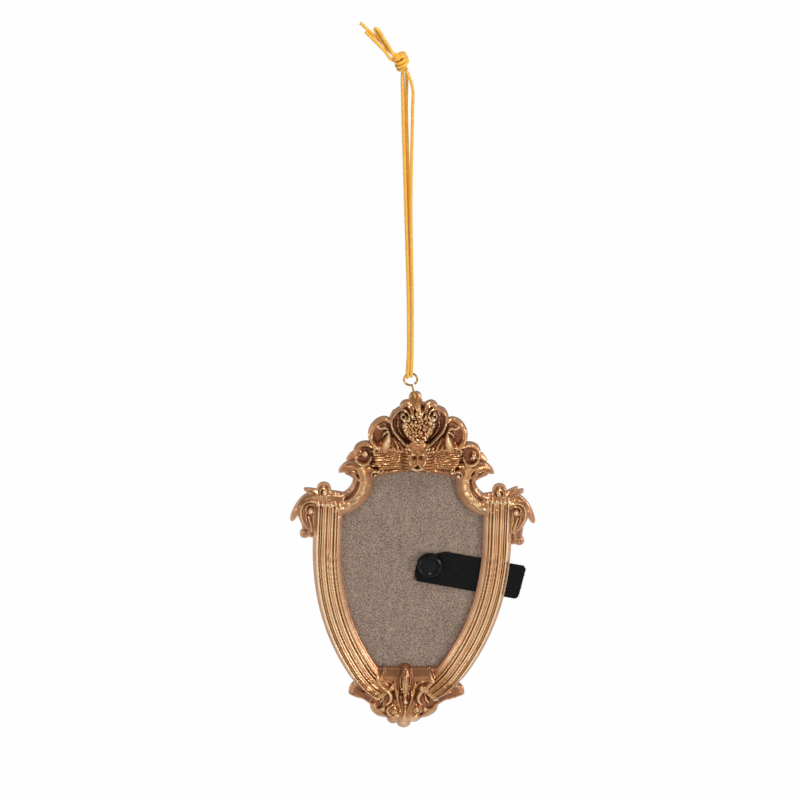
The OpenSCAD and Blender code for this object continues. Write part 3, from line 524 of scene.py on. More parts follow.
# Moulding that turns round the hollow of each shoulder, with flowers along it
turned = [(.5, 1.0), (.505, 2.2), (.53, 2.75), (.57, 2.95), (.6, 2.6), (.62, 2.15), (.64, 2.1), (.655, 2.6),
          (.67, 3.5), (.69, 3.55), (.705, 3.2), (.74, 3.35), (.79, 3.7), (.83, 3.55), (.85, 3.15), (.87, 3.05),
          (.93, 2.75), (1.02, 2.4)]
mid_part, half_part = 0.76, 0.26            # of the shoulder's radius
mid_r, half_r = mid_part * cove_r, half_part * cove_r
turned_section = [(-(mid_part - r) / half_part, h) for r, h in turned]
for side in (1, -1):
    arc = []
    for i in range(13):
        a = math.radians(146 + 11 * i)
        arc.append([cove_x + mid_r * math.cos(a), cove_z + mid_r * math.sin(a), half_r, 1.0])
    stroke(arc, turned_section, side=side, n=3, butt=True)
    for i in range(7):
        for k in range(3):
            a, r = math.radians(178 + i * 13.5 + k * 4.5), cove_r * (.74 + .045 * ((k * 2 + i) % 3))
            bead(cove_x + r * math.cos(a), cove_z + r * math.sin(a), .5 + .12 * ((i + k) % 2), 4.15,
                 side=side, petals=5, turn=k + i * .7)

# Leaves, scrolls and strands at the side of each shoulder
for side in (1, -1):
    at = (side * (side_x + rail_w), corner_z + 1.2)
    low = 2.0 if side > 0 else 0.0
    ground([[-9, 0], [-.8, -2], [-.9, -8.2], [1.4, -9.8 - low], [3.4, -9.4 - low], [3.9, -5], [5.2, -1], [5.0, 2.4],
            [2.6, 5.2], [-.2, 6.3], [-5, 6.1], [-9, 5.2]], hollow_h, at, side)
    ground([[-1, -1], [-.6, -7.4], [1.6, -8.4], [3.2, -5.6], [4.4, 0], [3.4, 3], [-1, 4]], 2.7, at, side)
    ground([[-9.4, 2.6], [.6, 2.6], [.6, 5.6], [-9.4, 5.6]], 3.2, at, side)
    stroke([[-9.4, 4.7, 1.2, 2.9], [-6, 5.3, 1.2, 3.0], [-2.4, 5.4, 1.25, 3.1], [.5, 4.9, 1.25, 3.1],
            [2.7, 3.7, 1.25, 3.0], [4.4, 1.6, 1.25, 2.8], [5.7, -1.0, 1.2, 2.6], [6.7, -3.4, .9, 2.4],
            [7.0, -4.2, .5, 2.2]], dome, at, side)
    stroke([[-1.8, 3.2, .4, 3.7], [.3, 3.7, .45, 3.9], [1.8, 3.6, .5, 4.0], [3.1, 2.9, .5, 4.0], [4.0, 1.5, .5, 3.9],
            [4.3, -.4, .5, 3.8], [3.9, -2.6, .5, 3.7], [3.1, -4.8, .5, 3.5], [2.0, -6.8, .5, 3.2]],
           cordlike, at, side)
    stroke([[-8.6, 4.0, .35, 3.3], [-5.2, 3.7, .4, 3.6], [-1.8, 3.2, .4, 3.7]], blade, at, side)
    stroke([[-7.0, 5.6, .3, 3.2], [-3.0, 5.9, .35, 3.4], [.8, 5.2, .35, 3.5], [3.4, 3.6, .35, 3.3],
            [5.1, 1.0, .3, 3.1]], cordlike, at, side)
    stroke([[4.5, -.2, .8, 3.1], [4.3, -2.4, .8, 3.3], [3.5, -4.8, .7, 3.2], [2.5, -7, .6, 2.8]], dome, at, side)
    stroke(spiral([1.3, .7], 2.1, .5, 150, -230, [.55, .4], [3.4, 4.3]), cordlike, at, side, n=1)
    bead(1.3, .7, .75, 4.6, at, side)
    stroke([[1.9, -1.4, .5, 3.9], [1.4, -3.4, .55, 3.9], [.8, -5.4, .5, 3.7], [.5, -7.6, .5, 3.3]], dome, at, side)
    stroke([[2.7, -.6, .35, 4.0], [2.6, -2.6, .4, 3.9], [2.0, -4.6, .35, 3.7]], dome, at, side)
    stroke([[.1, -.6, .45, 3.8], [.3, -2.6, .5, 3.8], [-.1, -5, .5, 3.6], [-.3, -7.6, .45, 3.2]], dome, at, side)
    stroke([[1.0, -7.4 - low * .5, .9, 2.6], [1.4, -8.6 - low, 1.3, 2.7], [.6, -9.6 - low, .9, 2.5]], dome, at, side)
    bead(2.7, -9.3 - low, 1.6, 2.6, at, side)
    stroke(spiral([2.7, -9.3 - low], 1.15, .3, 150, -210, [.4, .32], [3.2, 4.0]), cordlike, at, side, n=1)
at = (side_x + rail_w, corner_z + 1.2)
stroke([[-3.2, 5.2, 1.2, 2.9], [-1.2, 6.3, 1.0, 2.8], [.3, 7.4, .8, 2.5], [1.2, 8.2, .4, 2.2]], dome, at)
stroke([[-1.4, 5.4, 1.0, 2.8], [.9, 6.2, .9, 2.7], [2.6, 7.0, .75, 2.4], [3.2, 7.4, .35, 2.2]], dome, at)
at = (-side_x - rail_w, corner_z + 1.2)
stroke([[3.0, 5.0, 1.3, 2.9], [.6, 5.8, 1.3, 2.8], [-1.6, 6.5, .95, 2.5], [-3.2, 7.1, .35, 2.2]], dome, at)
for side, x in ((1, side_x + 4.9), (-1, side_x + 6.3)):
    at = (side * x, corner_z + 8.5)
    stroke([[.8, -3.4, 1.9, 2.4], [.2, -1.4, 2.1, 2.3], [0, 0, 2.1, 2.0]], dome, at, side)
    bead(0, 0, 2.35, 2.5, at)
    stroke(spiral([0, -.3], 1.7, .35, -120, 330, [.4, .34], [3.6, 4.6], 40), cordlike, at, side, n=1)
    bead(0, -.2, .55, 4.5, at, side)

# Crest: lobes, leaves, the heart-shaped cartouche with its flowers, and the fans
crest = (0.6, arch_z - 1)
chance = np.random.default_rng(7)
for side in (1, -1):
    at = crest
    drop = 0 if side > 0 else 1.0
    ground([[-.7, -1], [12, -3.4], [17.5, -2.6], [20.4, .5], [19.6, 7], [18.0, 9.8], [15.4, 11], [14.6, 15.6],
            [12.8, 18.2], [9.8, 19.0], [8.1, 22.6], [5.4, 23.6], [4, 24.8], [-.7, 26.8]], hollow_h, at, side)
    stroke([[14.5, 1.4, 1.5, 3.0], [18.6, 2.4, 1.9, 3.1], [21.6, 2.0, 1.8, 2.9], [23.6, .9, 1.2, 2.6],
            [24.8, .0, .45, 2.3]], dome, at, side)
    stroke([[22.6, .6, .4, 3.2], [21.0, 1.1, .45, 3.5], [19.4, .6, .4, 3.6], [17.6, -1.0, .35, 3.6]], blade, at, side)
    stroke([[22.4, -.2, .9, 2.8], [20.0, -1.2, 1.1, 3.1], [18.2, -2.6, .8, 3.3]], dome, at, side)
    ground([[3, 8.5], [13.4, 9], [12.4, 12], [9.6, 14.4], [7.4, 13.4], [4, 10.8]], 2.5, at, side)
    ground([[-.3, 11], [5, 13], [8, 17], [8.4, 20.6], [6, 22.4], [-.3, 24]], 1.8, at, side)
    stroke([[3.9, 13.2, .3, 3.0], [5.6, 15.4, .35, 3.3], [6.7, 18.2, .35, 3.3], [6.6, 20.4, .3, 3.2]],
           cordlike, at, side)
    # third lobe, curling in on itself, with a pointed tip behind it
    stroke([[12.6, 9.0, .6, 3.6], [14.6, 10.0, .8, 3.7], [17.0, 10.3, .95, 3.6], [19.0, 9.2, 1.0, 3.5],
            [19.8, 7.0, .95, 3.5], [19.4, 4.9, .75, 3.6], [18.2, 4.0, .55, 3.7], [16.9, 3.9, .5, 3.8],
            [15.7, 4.8, .45, 3.9], [15.1, 6.4, .4, 3.9]], rolled, at, side)
    stroke([[18.6, 7.2, 1.3, 2.7], [20.6, 6.0, 1.2, 2.6], [22.4, 4.6, .45, 2.3]], dome, at, side)
    # second lobe and its bowl
    stroke([[9.4, 18.8, .8, 3.0], [10.8, 19.5, .95, 3.1], [12.6, 18.9, 1.0, 3.4], [14.2, 17.2, 1.0, 3.7],
            [15.1, 15.0, 1.0, 3.9], [15.0, 12.8, .95, 4.0], [13.9, 11.0, .8, 4.0], [12.2, 9.8, .6, 4.0],
            [10.8, 9.3, .45, 3.8]], rolled, at, side)
    stroke([[13.2, 17.2, .5, 3.4], [12.0, 16.9, .5, 3.6], [10.8, 17.3, .5, 3.7], [9.8, 16.8, .4, 3.6]],
           dome, at, side)
    stroke([[9.9, 16.2, .45, 3.8], [10.9, 15.4, .5, 3.7], [11.6, 14.0, .4, 3.3]], dome, at, side)
    # leaf blade between the lobe and the cartouche
    stroke([[9.5, 16.2, .3, 3.5], [9.6, 14.4, 1.0, 4.3], [9.9, 12.4, 1.7, 4.7], [10.3, 10.6, 2.0, 4.5],
            [10.6, 9.4, 1.6, 3.9]], dome, at, side)
    for k in range(4):
        stroke([[3.8 + k * 1.4, 8.6, .6, 3.5], [4.8 + k * 1.5, 9.6 + .2 * k, .8, 3.7],
                [5.6 + k * 1.4, 10.9 + .2 * k, .5, 3.0]], dome, at, side)
    stroke([[7.6, 14.0, .3, 2.9], [7.3, 12.2, .5, 3.4], [6.2, 10.6, .5, 3.8]], dome, at, side)
    # rim of the cartouche, rolling into a volute
    stroke([[3.4, 10.9, .45, 3.9], [4.7, 12.2, .45, 4.2], [6.3, 14.0, .45, 4.3], [7.6, 15.8, .45, 4.3],
            [8.5, 17.8, .5, 4.3], [9.0 - drop * .2, 20.0 - drop * .4, .55, 4.2],
            [8.9 - drop * .3, 21.6 - drop, .6, 4.0], [8.0 - drop * .3, 23.0 - drop, .65, 3.9],
            [6.4, 24.0 - drop * .6, .55, 3.9], [4.9, 24.4 - drop * .5, .5, 4.0], [3.6, 23.6 - drop * .4, .45, 4.2],
            [3.2, 22.2 - drop * .3, .45, 4.4], [4.2, 21.2 - drop * .2, .4, 4.6], [5.6, 21.6 - drop * .2, .4, 4.8],
            [5.6, 22.8 - drop * .3, .35, 4.9], [4.8, 23.0 - drop * .3, .35, 5.0]], cordlike, at, side)
    stroke([[7.8, 23.2 - drop, .7, 2.6], [8.7 - drop * .3, 22.0 - drop, .7, 2.7],
            [9.3 - drop * .2, 20.0 - drop, .7, 2.8]], dome, at, side)
    # small lobe beside the top
    stroke([[1.8, 23.2, .45, 3.6], [2.3, 25.3, .5, 3.8], [4.0, 26.15, .55, 3.7], [5.4, 25.3, .5, 3.5],
            [5.9, 24.1, .4, 3.4]], cordlike, at, side)
    stroke([[2.3, 22.8, .4, 3.9], [3.0, 24.9, .38, 4.1], [4.2, 25.3, .38, 4.0], [5.0, 24.6, .3, 3.9]],
           cordlike, at, side)
    ground([[1.4, 22], [2.2, 25.4], [4.0, 26.3], [5.6, 25.2], [5.9, 23.6]], 2.3, at, side)
    # fan ribs beside the mask, curling at their ends
    ground([[0, 2.4], [12.4, 2.0], [13.8, 5], [13.6, 8.8], [9, 9.2], [0, 9.6]], 3.0, at, side)
    for k in range(10):
        a, rise = 9.1 - .62 * k, (9.1 - .62 * k - 3.2) / 4
        end = 14.4 - .9 * math.sin(a * 3)
        stroke([[4.7, a, .2, 3.1], [6.0, a - .15, .27, 3.7], [9.0, a + .1 + rise * .4, .32, 3.9],
                [end - 1.6, a - .2 + rise, .32, 3.8], [end, a - .3 + rise, .2, 3.3]], dome, at, side)
    stroke([[9.2, 9.4, .45, 3.9], [11.2, 10.3, .55, 4.0], [13.1, 10.2, .55, 3.9], [14.2, 9.0, .5, 3.9],
            [13.9, 7.7, .45, 3.9], [12.9, 7.5, .4, 3.9]], cordlike, at, side)
    # plain moulding over the arch and the curls at its corners
    stroke([[0, 2.2, .6, 3.4], [6, 1.7, .65, 3.4], [11, .6, .6, 3.3]], dome, at, side)
    stroke(spiral([13.6, .3], 1.5, .4, 150, -230, [.5, .4], [4.2, 5.0]), cordlike, at, side, n=1)
    bead(13.6, .3, .55, 4.9, at, side)
    stroke(spiral([11.4, 1.9], .9, .3, 100, -250, [.4, .35], [4.2, 4.9], 14), cordlike, at, side, n=1)
    stroke([[15.2, 2.6, .4, 3.5], [16.6, 2.2, .45, 3.6], [17.4, .6, .4, 3.6], [17.6, -1.6, .4, 3.5]], blade, at, side)
at = crest
bead(18.4, 6.6, 1.3, 4.0, at, 1, petals=5, turn=.4)
bead(-17.0, 7.4, 1.1, 3.2, at, 1)
ground([[0, 11.4], [2.6, 13.2], [4.6, 15.6], [5.5, 18.8], [4.2, 21], [1.8, 20.8], [0, 22.4],
        [-1.8, 20.8], [-4.2, 21], [-5.5, 18.8], [-4.6, 15.6], [-2.6, 13.2]], 3.7, at)
for row in range(14):
    z = 12.4 + .84 * row
    half_row = np.interp(z, [12.2, 13, 14.8, 16.7, 19, 21.4, 22.4, 23.6], [1.2, 2.0, 3.1, 4.6, 5.2, 5.5, 3.2, 1.0])
    count = max(1, int(round(half_row * 2 / .96)))
    for k in range(count):
        x = (k - (count - 1) / 2) * .96 + chance.uniform(-.28, .28) + (.2 if row % 2 else -.2)
        if abs(x) < half_row:
            bead(x, z + chance.uniform(-.3, .3), chance.uniform(.46, .68),
                 5.1 - .012 * x * x + chance.uniform(-.3, .2), at, petals=5, turn=chance.uniform(0, 6))
stroke([[0, 22.4, .9, 4.3], [-.2, 24.2, 1.1, 4.4], [-.4, 26.0, 1.1, 4.0], [-.6, 27.0, .9, 3.6]], veined, at)
stroke([[-1.5, 24.8, 1.0, 3.3], [-2.1, 26.8, 1.3, 3.5], [-2.0, 28.2, 1.2, 3.2], [-1.7, 29.0, .7, 2.7]], dome, at)
stroke([[-.6, 24.8, 1.0, 3.4], [-.5, 26.6, 1.5, 3.7], [-.6, 28.1, 1.4, 3.4], [-.8, 29.0, .8, 2.8]], dome, at)

# Lion's mask below the cartouche
stroke([[0, 2.3, 3.3, 4.2], [0, 4.0, 3.6, 4.6], [0, 6.5, 3.7, 4.8], [0, 9.0, 3.7, 4.8], [0, 10.3, 3.4, 4.5]], squared,
       at, n=4)
for side in (1, -1):
    for k in range(8):                     # the jagged mane
        z = 2.3 + 1.16 * k
        stroke([[2.9, z + .3, .3, 5.8], [3.9, z, .34, 5.6], [5.2 - .4 * (k % 2), z - .35, .15, 4.4]], blade, at, side)
    stroke([[3.5, 11.9, .3, 5.3], [2.6, 10.4, .55, 5.9], [1.9, 9.2, .5, 5.9]], blade, at, side)
    stroke([[3.6, 11.6, .3, 5.2], [3.7, 10.0, .45, 5.7], [3.2, 9.0, .4, 5.6]], blade, at, side)
    stroke([[.6, 8.6, .4, 5.5], [1.6, 8.9, .5, 6.0], [2.9, 8.4, .4, 5.6]], dome, at, side)
    stroke([[2.4, 7.0, .5, 5.2], [2.5, 5.8, .85, 5.7], [1.9, 4.6, .7, 5.5]], dome, at, side)
    sink(1.2, 7.3, .6, 1.5, at, side)
    bead(1.35, 7.3, .3, 5.0, at, side)
    stroke([[.5, 4.7, .5, 5.8], [1.1, 4.2, .55, 5.7], [1.6, 3.4, .4, 5.3]], dome, at, side)
stroke([[0, 9.8, .45, 5.4], [0, 7.6, .5, 6.0], [0, 6.0, .65, 6.3], [0, 5.3, .75, 6.2]], dome, at)
sink(0, 3.8, .75, 2.0, at)
for k in range(5):
    bead(-1.6 + .8 * k, 2.9 + .25 * abs(k - 2), .55, 5.3, at)

# Foot: curling leaves, fluted bulbs, scrolls and three lobes
at = (-0.6, 0.0)
rolled_back = [(-a, b) for a, b in reversed(rolled)]
for side, out in ((1, 1.4), (-1, 0.0)):
    ground([[0, 1.6], [3, 2.8], [6, 4.4], [9, 6.2], [11, 9], [14, 11], [17.2 + out, 12.2], [17 + out, 15], [14, 19],
            [12, 21], [0, 21.4]], 2.2, at, side)
    ground([[-.5, 5], [4, 5.4], [7.4, 7.4], [7, 11], [6, 15], [9, 18.6], [8.8, 21], [-.5, 21]], 3.1, at, side)
    stroke([[9.4, 8.6, .6, 2.8], [12.0, 10.8, .7, 2.9], [15.0 + out * .5, 12.0, .75, 3.0],
            [17.6 + out, 12.9 + .2 * out, .5, 2.7]], rolled_back, at, side)
    stroke([[17.6 + out, 13.2, .5, 2.8], [17.0 + out, 15.0, .7, 3.0], [15.6 + out * .5, 16.8, .7, 3.0],
            [14.4, 18.4, .6, 2.9]], dome, at, side)
    stroke([[11.0, 12.4, .35, 3.2], [13.6, 13.8, .4, 3.3], [15.6, 14.4, .35, 3.0]], blade, at, side)
    stroke([[9.8, 12.8, .6, 3.4], [11.0, 10.6, .5, 3.2], [10.6, 9.0, .4, 3.1]], blade, at, side)
    stroke([[10.2, 9.4, .9, 3.3], [9.2, 7.4, 1.5, 3.9], [7.4, 5.8, 1.5, 3.9], [5.2, 4.8, 1.0, 3.6]], dome, at, side)
    for k in range(5):
        a = math.radians(-20 - 24 * k)
        stroke([[6.4, 9.2, .3, 4.2], [7.4 + 2.4 * math.cos(a), 7.6 + 2.6 * math.sin(a), .3, 4.1]], blade, at, side)
    stroke([[9.3, 20.6, .8, 3.9], [8.7, 18.8, 1.05, 4.5], [7.3, 16.9, 1.15, 4.8], [5.6, 15.4, 1.1, 4.9],
            [4.5, 13.6, 1.0, 4.9], [4.6, 11.6, .9, 4.7], [5.8, 10.2, .6, 4.3]], cordlike, at, side)
    stroke([[8.0, 19.3, .4, 3.9], [6.2, 18.8, .5, 4.0], [4.4, 18.2, .5, 4.0], [3.6, 16.6, .5, 4.1]],
           cordlike, at, side)
    stroke([[3.4, 19.4, .8, 3.6], [3.1, 17.0, 1.0, 4.1], [2.7, 14.2, 1.1, 4.3], [2.2, 11.6, .9, 4.2],
            [1.6, 9.4, .7, 4.0]], dome, at, side)
    stroke([[2.0, 15.4, .4, 4.4], [2.3, 13.2, .5, 4.8], [1.9, 10.8, .5, 4.7], [1.2, 8.2, .4, 4.4]],
           cordlike, at, side)
    stroke([[6.4, 14.4, .6, 4.1], [6.9, 12.4, .7, 4.2], [7.8, 10.8, .6, 4.0]], dome, at, side)
ground([[-9.4, 18.6], [8.6, 18.6], [8.8, 23.4], [-8.2, 23.4]], 3.4, at)
ground([[-2.6, 4], [2.6, 4], [3.4, 10], [3.0, 14], [2.6, 20.4], [-2.6, 20.4], [-3.0, 14], [-3.4, 10]], 3.5, at)
bead(-3.3, 7.4, 2.9, 3.9, at)
bead(4.2, 8.2, 2.2, 3.9, at)
stroke(spiral([-3.4, 7.4], 2.7, .6, 60, 420, [.7, .5], [4.0, 4.7], 34), cordlike, at, n=1)
bead(-3.4, 7.4, .9, 4.9, at, petals=5)
for k in range(5):
    a = math.radians(200 + 60 * k)
    bead(-3.2 + 1.9 * math.cos(a), 7.2 + 1.8 * math.sin(a), .55, 4.7, at, petals=4, turn=k)
stroke(spiral([4.2, 8.2], 1.9, .5, 120, -330, [.45, .4], [3.9, 4.8], 28), cordlike, at, n=1)
bead(4.2, 8.2, .6, 4.7, at)
stroke([[-2.2, 6.2, 1.0, 4.0], [-2.9, 5.0, 1.4, 4.1]], dome, at)
bead(-3.4, 4.0, 2.0, 4.1, at)
stroke([[1.7, 6.6, 1.0, 4.0], [2.7, 5.6, 1.5, 4.2]], dome, at)
bead(3.4, 4.8, 2.15, 4.3, at)
stroke([[.3, 8.0, .7, 4.4], [.2, 6.2, .9, 4.5], [.1, 4.4, 1.5, 4.0], [.1, 3.2, 1.9, 3.7]], dome, at)
bead(.1, 2.65, 2.25, 3.8, at)

# The opening, with the slope that widens it, and then the bud that stands up into it
sill_half, slope_foot, slope_top = 8.8, 2.4, rail_h - .7
over_sill = (grid_z < sill_z + .5) & (np.abs(grid_x) < sill_half)
over_corner = grid_z > corner_z - .5
reach = np.where(over_sill, 4.4, np.where(grid_z > cove_z - .1, 1.5, np.where(over_corner, 2.2, 1.15)))
slope = np.where(from_opening > reach, 9,
                 slope_foot + (slope_top - slope_foot) * np.clip(from_opening, 0, None) / reach)
height[:] = np.minimum(height, np.maximum(slope, slope_foot))
inside[:] = np.where(from_opening < 2, np.minimum(inside, from_opening), inside)
height[:] = np.where(from_opening < 0, 0, height)
stroke([[0, 22.7, 1.9, 4.9], [0, 21.3, 2.35, 5.6], [0, 19.6, 2.15, 5.8], [.1, 16.4, 1.6, 5.2], [.2, 12.8, 1.1, 4.7],
        [.3, 9.6, .8, 4.2], [.3, 6.8, .6, 3.9]], dome, at)
for x in (-1.7, -.85, 0, .85, 1.7):
    stroke([[x * .75, 21.9, .36, 5.3 - .1 * x * x], [x, 20.6, .44, 6.1 - .1 * x * x],
            [x * .95, 18.6, .4, 5.9 - .1 * x * x], [x * .65, 15, .3, 5.1]], dome, at)
for k in range(12):
    bead(-1.3 + 2.6 * ((k * 5) % 12) / 11, 13.4 + k * .62, .42, 5.3 + .05 * k, at, petals=4, turn=k)
bead(.3, 11.6, .75, 5.3, at)
bead(.3, 9.9, .5, 4.9, at)
for side, x in ((1, 7.9), (-1, 7.2)):
    stroke([[x - .2, 23.2, .45, 2.9], [x, 22.0, .9, 3.7], [x + .5, 20.4, 1.1, 4.2], [x + 1.0, 18.8, 1.0, 4.5]],
           dome, at, side)


def blurred(values, sigma, within):
    """Gaussian blur over the casting only."""
    n = int(3 * sigma) + 1
    kernel = np.exp(-.5 * (np.arange(-n, n + 1) / sigma) ** 2)
    kernel /= kernel.sum()
    results = []
    for field in (values * within, within.astype(float)):
        for axis in (0, 1):
            field = np.apply_along_axis(np.convolve, axis, field, kernel, "same")
        results.append(field)
    return results[0] / np.maximum(results[1], 1e-6)


# The casting thins towards its outline, and its forms are softened as paint softens them
within = inside > 0
everywhere = np.ones(within.shape, bool)
depth_in = blurred(within.astype(float) + (from_opening < 0), 11, everywhere)   # a half at the outline
on_rails = (from_opening < rail_w + .5) & (grid_z < corner_z + 3) & (grid_z > 19)
thinnest = .42
thin = np.where(on_rails, 1, thinnest + (1 - thinnest) * np.clip((depth_in - .5) / .42, 0, 1))
height = height * np.clip(blurred(thin, 4, everywhere), thinnest, 1)
softened = np.where(on_rails, blurred(height, .55, within), blurred(height, .65, within))
height = np.where(within, softened, height)
chance = np.random.default_rng(3)
for sigma, amount in ((2.2, .045), (5.0, .08)):   # the unevenness of a casting painted by hand
    ripple = blurred(chance.normal(size=height.shape), sigma, within)
    calm = np.where(on_rails, .15, 1)
    height = np.where(within, height + amount * calm * ripple / ripple[within].std(), height)
# Low hollow values carry the brown wash, high ones the painted highlight on raised parts; deep grounds away from the
# outline count lower still.
hollow = .8 * (height - blurred(height, 4.0, within)) + .35 * (height - blurred(height, 12.0, within))
deep = np.clip((2.9 - height) / 1.1, 0, 1) * np.clip((depth_in - .62) / .15, 0, 1)
# On the rails the hollow values are raised and spread out: a painted highlight on the reeds.
hollow = np.where(on_rails, 1.1 * hollow + .02, hollow - .55 * deep)
fine_edge = height - blurred(height, 1.6, within)
cell = within[:-1, :-1] & within[1:, :-1] & within[:-1, 1:] & within[1:, 1:]
for _ in range(3):                         # no two cells may meet at one corner only
    a, b, c, d = cell[:-1, :-1], cell[:-1, 1:], cell[1:, :-1], cell[1:, 1:]
    cross_one, cross_two = a & d & ~b & ~c, b & c & ~a & ~d
    cell[:-1, 1:] |= cross_one
    cell[:-1, :-1] |= cross_two

# The back: flat, with the rebate for the board and the strap's way out sunk into it
rebate_d, rebate_w = 1.4, 1.8
strap_w, strap_t, strap_l, strap_slope = 12.0, 0.7, 31.0, math.radians(11)
rivet_x, rivet_z, strap_drop = 6.0, 61.6, 0.9
slot_half, slot_spare = 6.3, 0.1
depths = np.array([0.0, rebate_d, rebate_d + strap_t + slot_spare])


def on_strap(u, v):
    """Along and across the strap, from the rivet, to x and z."""
    return (rivet_x + u * math.cos(strap_slope) + v * math.sin(strap_slope),
            rivet_z - strap_drop - u * math.sin(strap_slope) + v * math.cos(strap_slope))


def past_slot(x, z):
    """Distance outside the strap's way out, negative inside it."""
    dx, dz = x - rivet_x, z - rivet_z + strap_drop
    u = dx * math.cos(strap_slope) - dz * math.sin(strap_slope)
    v = dx * math.sin(strap_slope) + dz * math.cos(strap_slope)
    return np.maximum(np.abs(v) - slot_half, -u)


past_rebate = from_opening - rebate_w
slot_here = past_slot(grid_x, grid_z)
mid_rebate = (past_rebate[:-1, :-1] + past_rebate[1:, 1:]) / 2
mid_slot = (slot_here[:-1, :-1] + slot_here[1:, 1:]) / 2
layer = np.where(mid_slot < 0, 2, np.where(mid_rebate < 0, 1, 0))
number = np.arange(height.size).reshape(height.shape)
corners = [number[:-1, :-1], number[:-1, 1:], number[1:, 1:], number[1:, :-1]]
slope_z, slope_x = np.gradient(inside, step)
steep = np.maximum(np.hypot(slope_x, slope_z), 0.5)
x, z = grid_x.ravel().copy(), grid_z.ravel().copy()
edge_walls, steps = [], []
for down, right, first, second in ((1, 0, corners[3], corners[2]), (-1, 0, corners[1], corners[0]),
                                   (0, 1, corners[2], corners[1]), (0, -1, corners[0], corners[3])):
    beside = np.roll(cell, (-down, -right), (0, 1))
    layer_beside = np.roll(layer, (-down, -right), (0, 1))
    open_side = cell & ~beside
    edge_walls.append(np.stack([first[open_side], second[open_side], layer[open_side]], 1))
    lower = cell & beside & (layer < layer_beside)
    steps.append(np.stack([first[lower], second[lower], layer[lower], layer_beside[lower]], 1))
edge_walls, steps = np.vstack(edge_walls), np.vstack(steps)
on_rim, on_step = np.zeros(height.size, bool), np.zeros(height.size, bool)
on_rim[edge_walls[:, :2].ravel()] = True
on_step[steps[:, :2].ravel()] = True
rim_points = np.flatnonzero(on_rim)
shift = np.clip(inside.ravel()[rim_points], -0.15, 0.25)   # onto the outline, but not past a cell
x[rim_points] -= shift * (slope_x / steep).ravel()[rim_points]
z[rim_points] -= shift * (slope_z / steep).ravel()[rim_points]
back_x, back_z = x.copy(), z.copy()
for past, slot_step in ((past_rebate, False), (slot_here, True)):
    chosen = np.unique(steps[(steps[:, 3] == 2) == slot_step][:, :2])
    chosen = chosen[(np.abs(past.ravel()[chosen]) < 0.8 * step) & ~on_rim[chosen]]
    fall_z, fall_x = np.gradient(past, step)
    back_x[chosen] -= (past * fall_x).ravel()[chosen]
    back_z[chosen] -= (past * fall_z).ravel()[chosen]

# Faces: every front cell, the walls, and the back, where plain cells join into long strips
front_quads = np.stack([c[cell] for c in corners], 1)
plain = cell & ~(on_rim | on_step)[np.stack(corners)].any(0)
total = height.size
single = cell & ~plain
back_quads = [np.stack([c[single] + total * layer[single] for c in corners[::-1]], 1)]
starts = plain & ~(np.roll(plain, 1, 1) & (np.roll(layer, 1, 1) == layer))
ends = plain & ~(np.roll(plain, -1, 1) & (np.roll(layer, -1, 1) == layer))
back_quads.append(np.stack([corners[3][starts] + total * layer[starts], corners[2][ends] + total * layer[ends],
                            corners[1][ends] + total * layer[ends], corners[0][starts] + total * layer[starts]], 1))
first, second, here = edge_walls.T
wall_quads = np.stack([first, second, second + total * (here + 1), first + total * (here + 1)], 1)
first, second, here, there = steps.T
step_quads = np.stack([first + total * here, second + total * here, second + total * there, first + total * there],
                      1) + total
keys = np.vstack([front_quads, np.vstack(back_quads) + total, wall_quads, step_quads])
used, faces = np.unique(keys, return_inverse=True)
faces = faces.reshape(keys.shape)
spot_of, side_of = used % total, used // total
on_front = side_of == 0
least_edge = 1.0
front_y, back_y = -np.maximum(height.ravel()[spot_of], least_edge), -depths[np.maximum(side_of - 1, 0)]
points = np.stack([np.where(on_front, x[spot_of], back_x[spot_of]),
                   np.where(on_front, front_y, back_y),
                   np.where(on_front, z[spot_of], back_z[spot_of])], 1)
casting = new_object("carved_casting", place(points), faces)
shaped = casting.data


def sampled(field, points):
    """A field of the grid, read at the points of the mesh."""
    column = np.clip((points[:, 0] - west) / step, 0, field.shape[1] - 1.001)
    row = np.clip((points[:, 2] - south) / step, 0, field.shape[0] - 1.001)
    c, r = column.astype(int), row.astype(int)
    fc, fr = column - c, row - r
    return (field[r, c] * (1 - fc) * (1 - fr) + field[r, c + 1] * fc * (1 - fr)
            + field[r + 1, c] * (1 - fc) * fr + field[r + 1, c + 1] * fc * fr)


# What the paint needs to know of the shape: hollows, edges and walls, and where the gilt is painted lighter, as
# rubbed gilt and painted highlight
outer_wall = np.clip(1 - sampled(np.clip(inside, -1, 9), points) / 0.9, 0, 1)
outer_wall = outer_wall * (sampled(from_opening, points) > 3.0)
# Painted light: the rails, the shoulders and the middle of the foot are painted lighter, as rubbed gilt and painted
# highlight; the rest is multiplied toward dull gold.
rubbed_and_highlit = (np.clip((grid_z - 16) / 5, 0, 1)
         * np.clip((corner_z + 7 - grid_z) / 8, .3 * (grid_z < corner_z + 14), 1)
         * np.clip((rail_w + 1.6 - from_opening) / 1.5, .35, 1)
         * np.clip((np.abs(grid_x) + grid_z * .6 - 24) / 6, 0, 1))
rubbed_and_highlit = np.maximum(rubbed_and_highlit, .8 * np.exp(-((grid_x - .4) / 4.2) ** 2 - ((grid_z - 3) / 2.4) ** 2))
wall_reach = np.where(over_corner, 2.3, np.where(over_sill, 4.2, 1.5))
wall_brown = np.where((points[:, 2] < sill_z + .5) & (np.abs(points[:, 0]) < sill_half), 1.7, 1)
inner_wall = np.clip(wall_brown - wall_brown * sampled(from_opening / wall_reach, points), 0, 1)
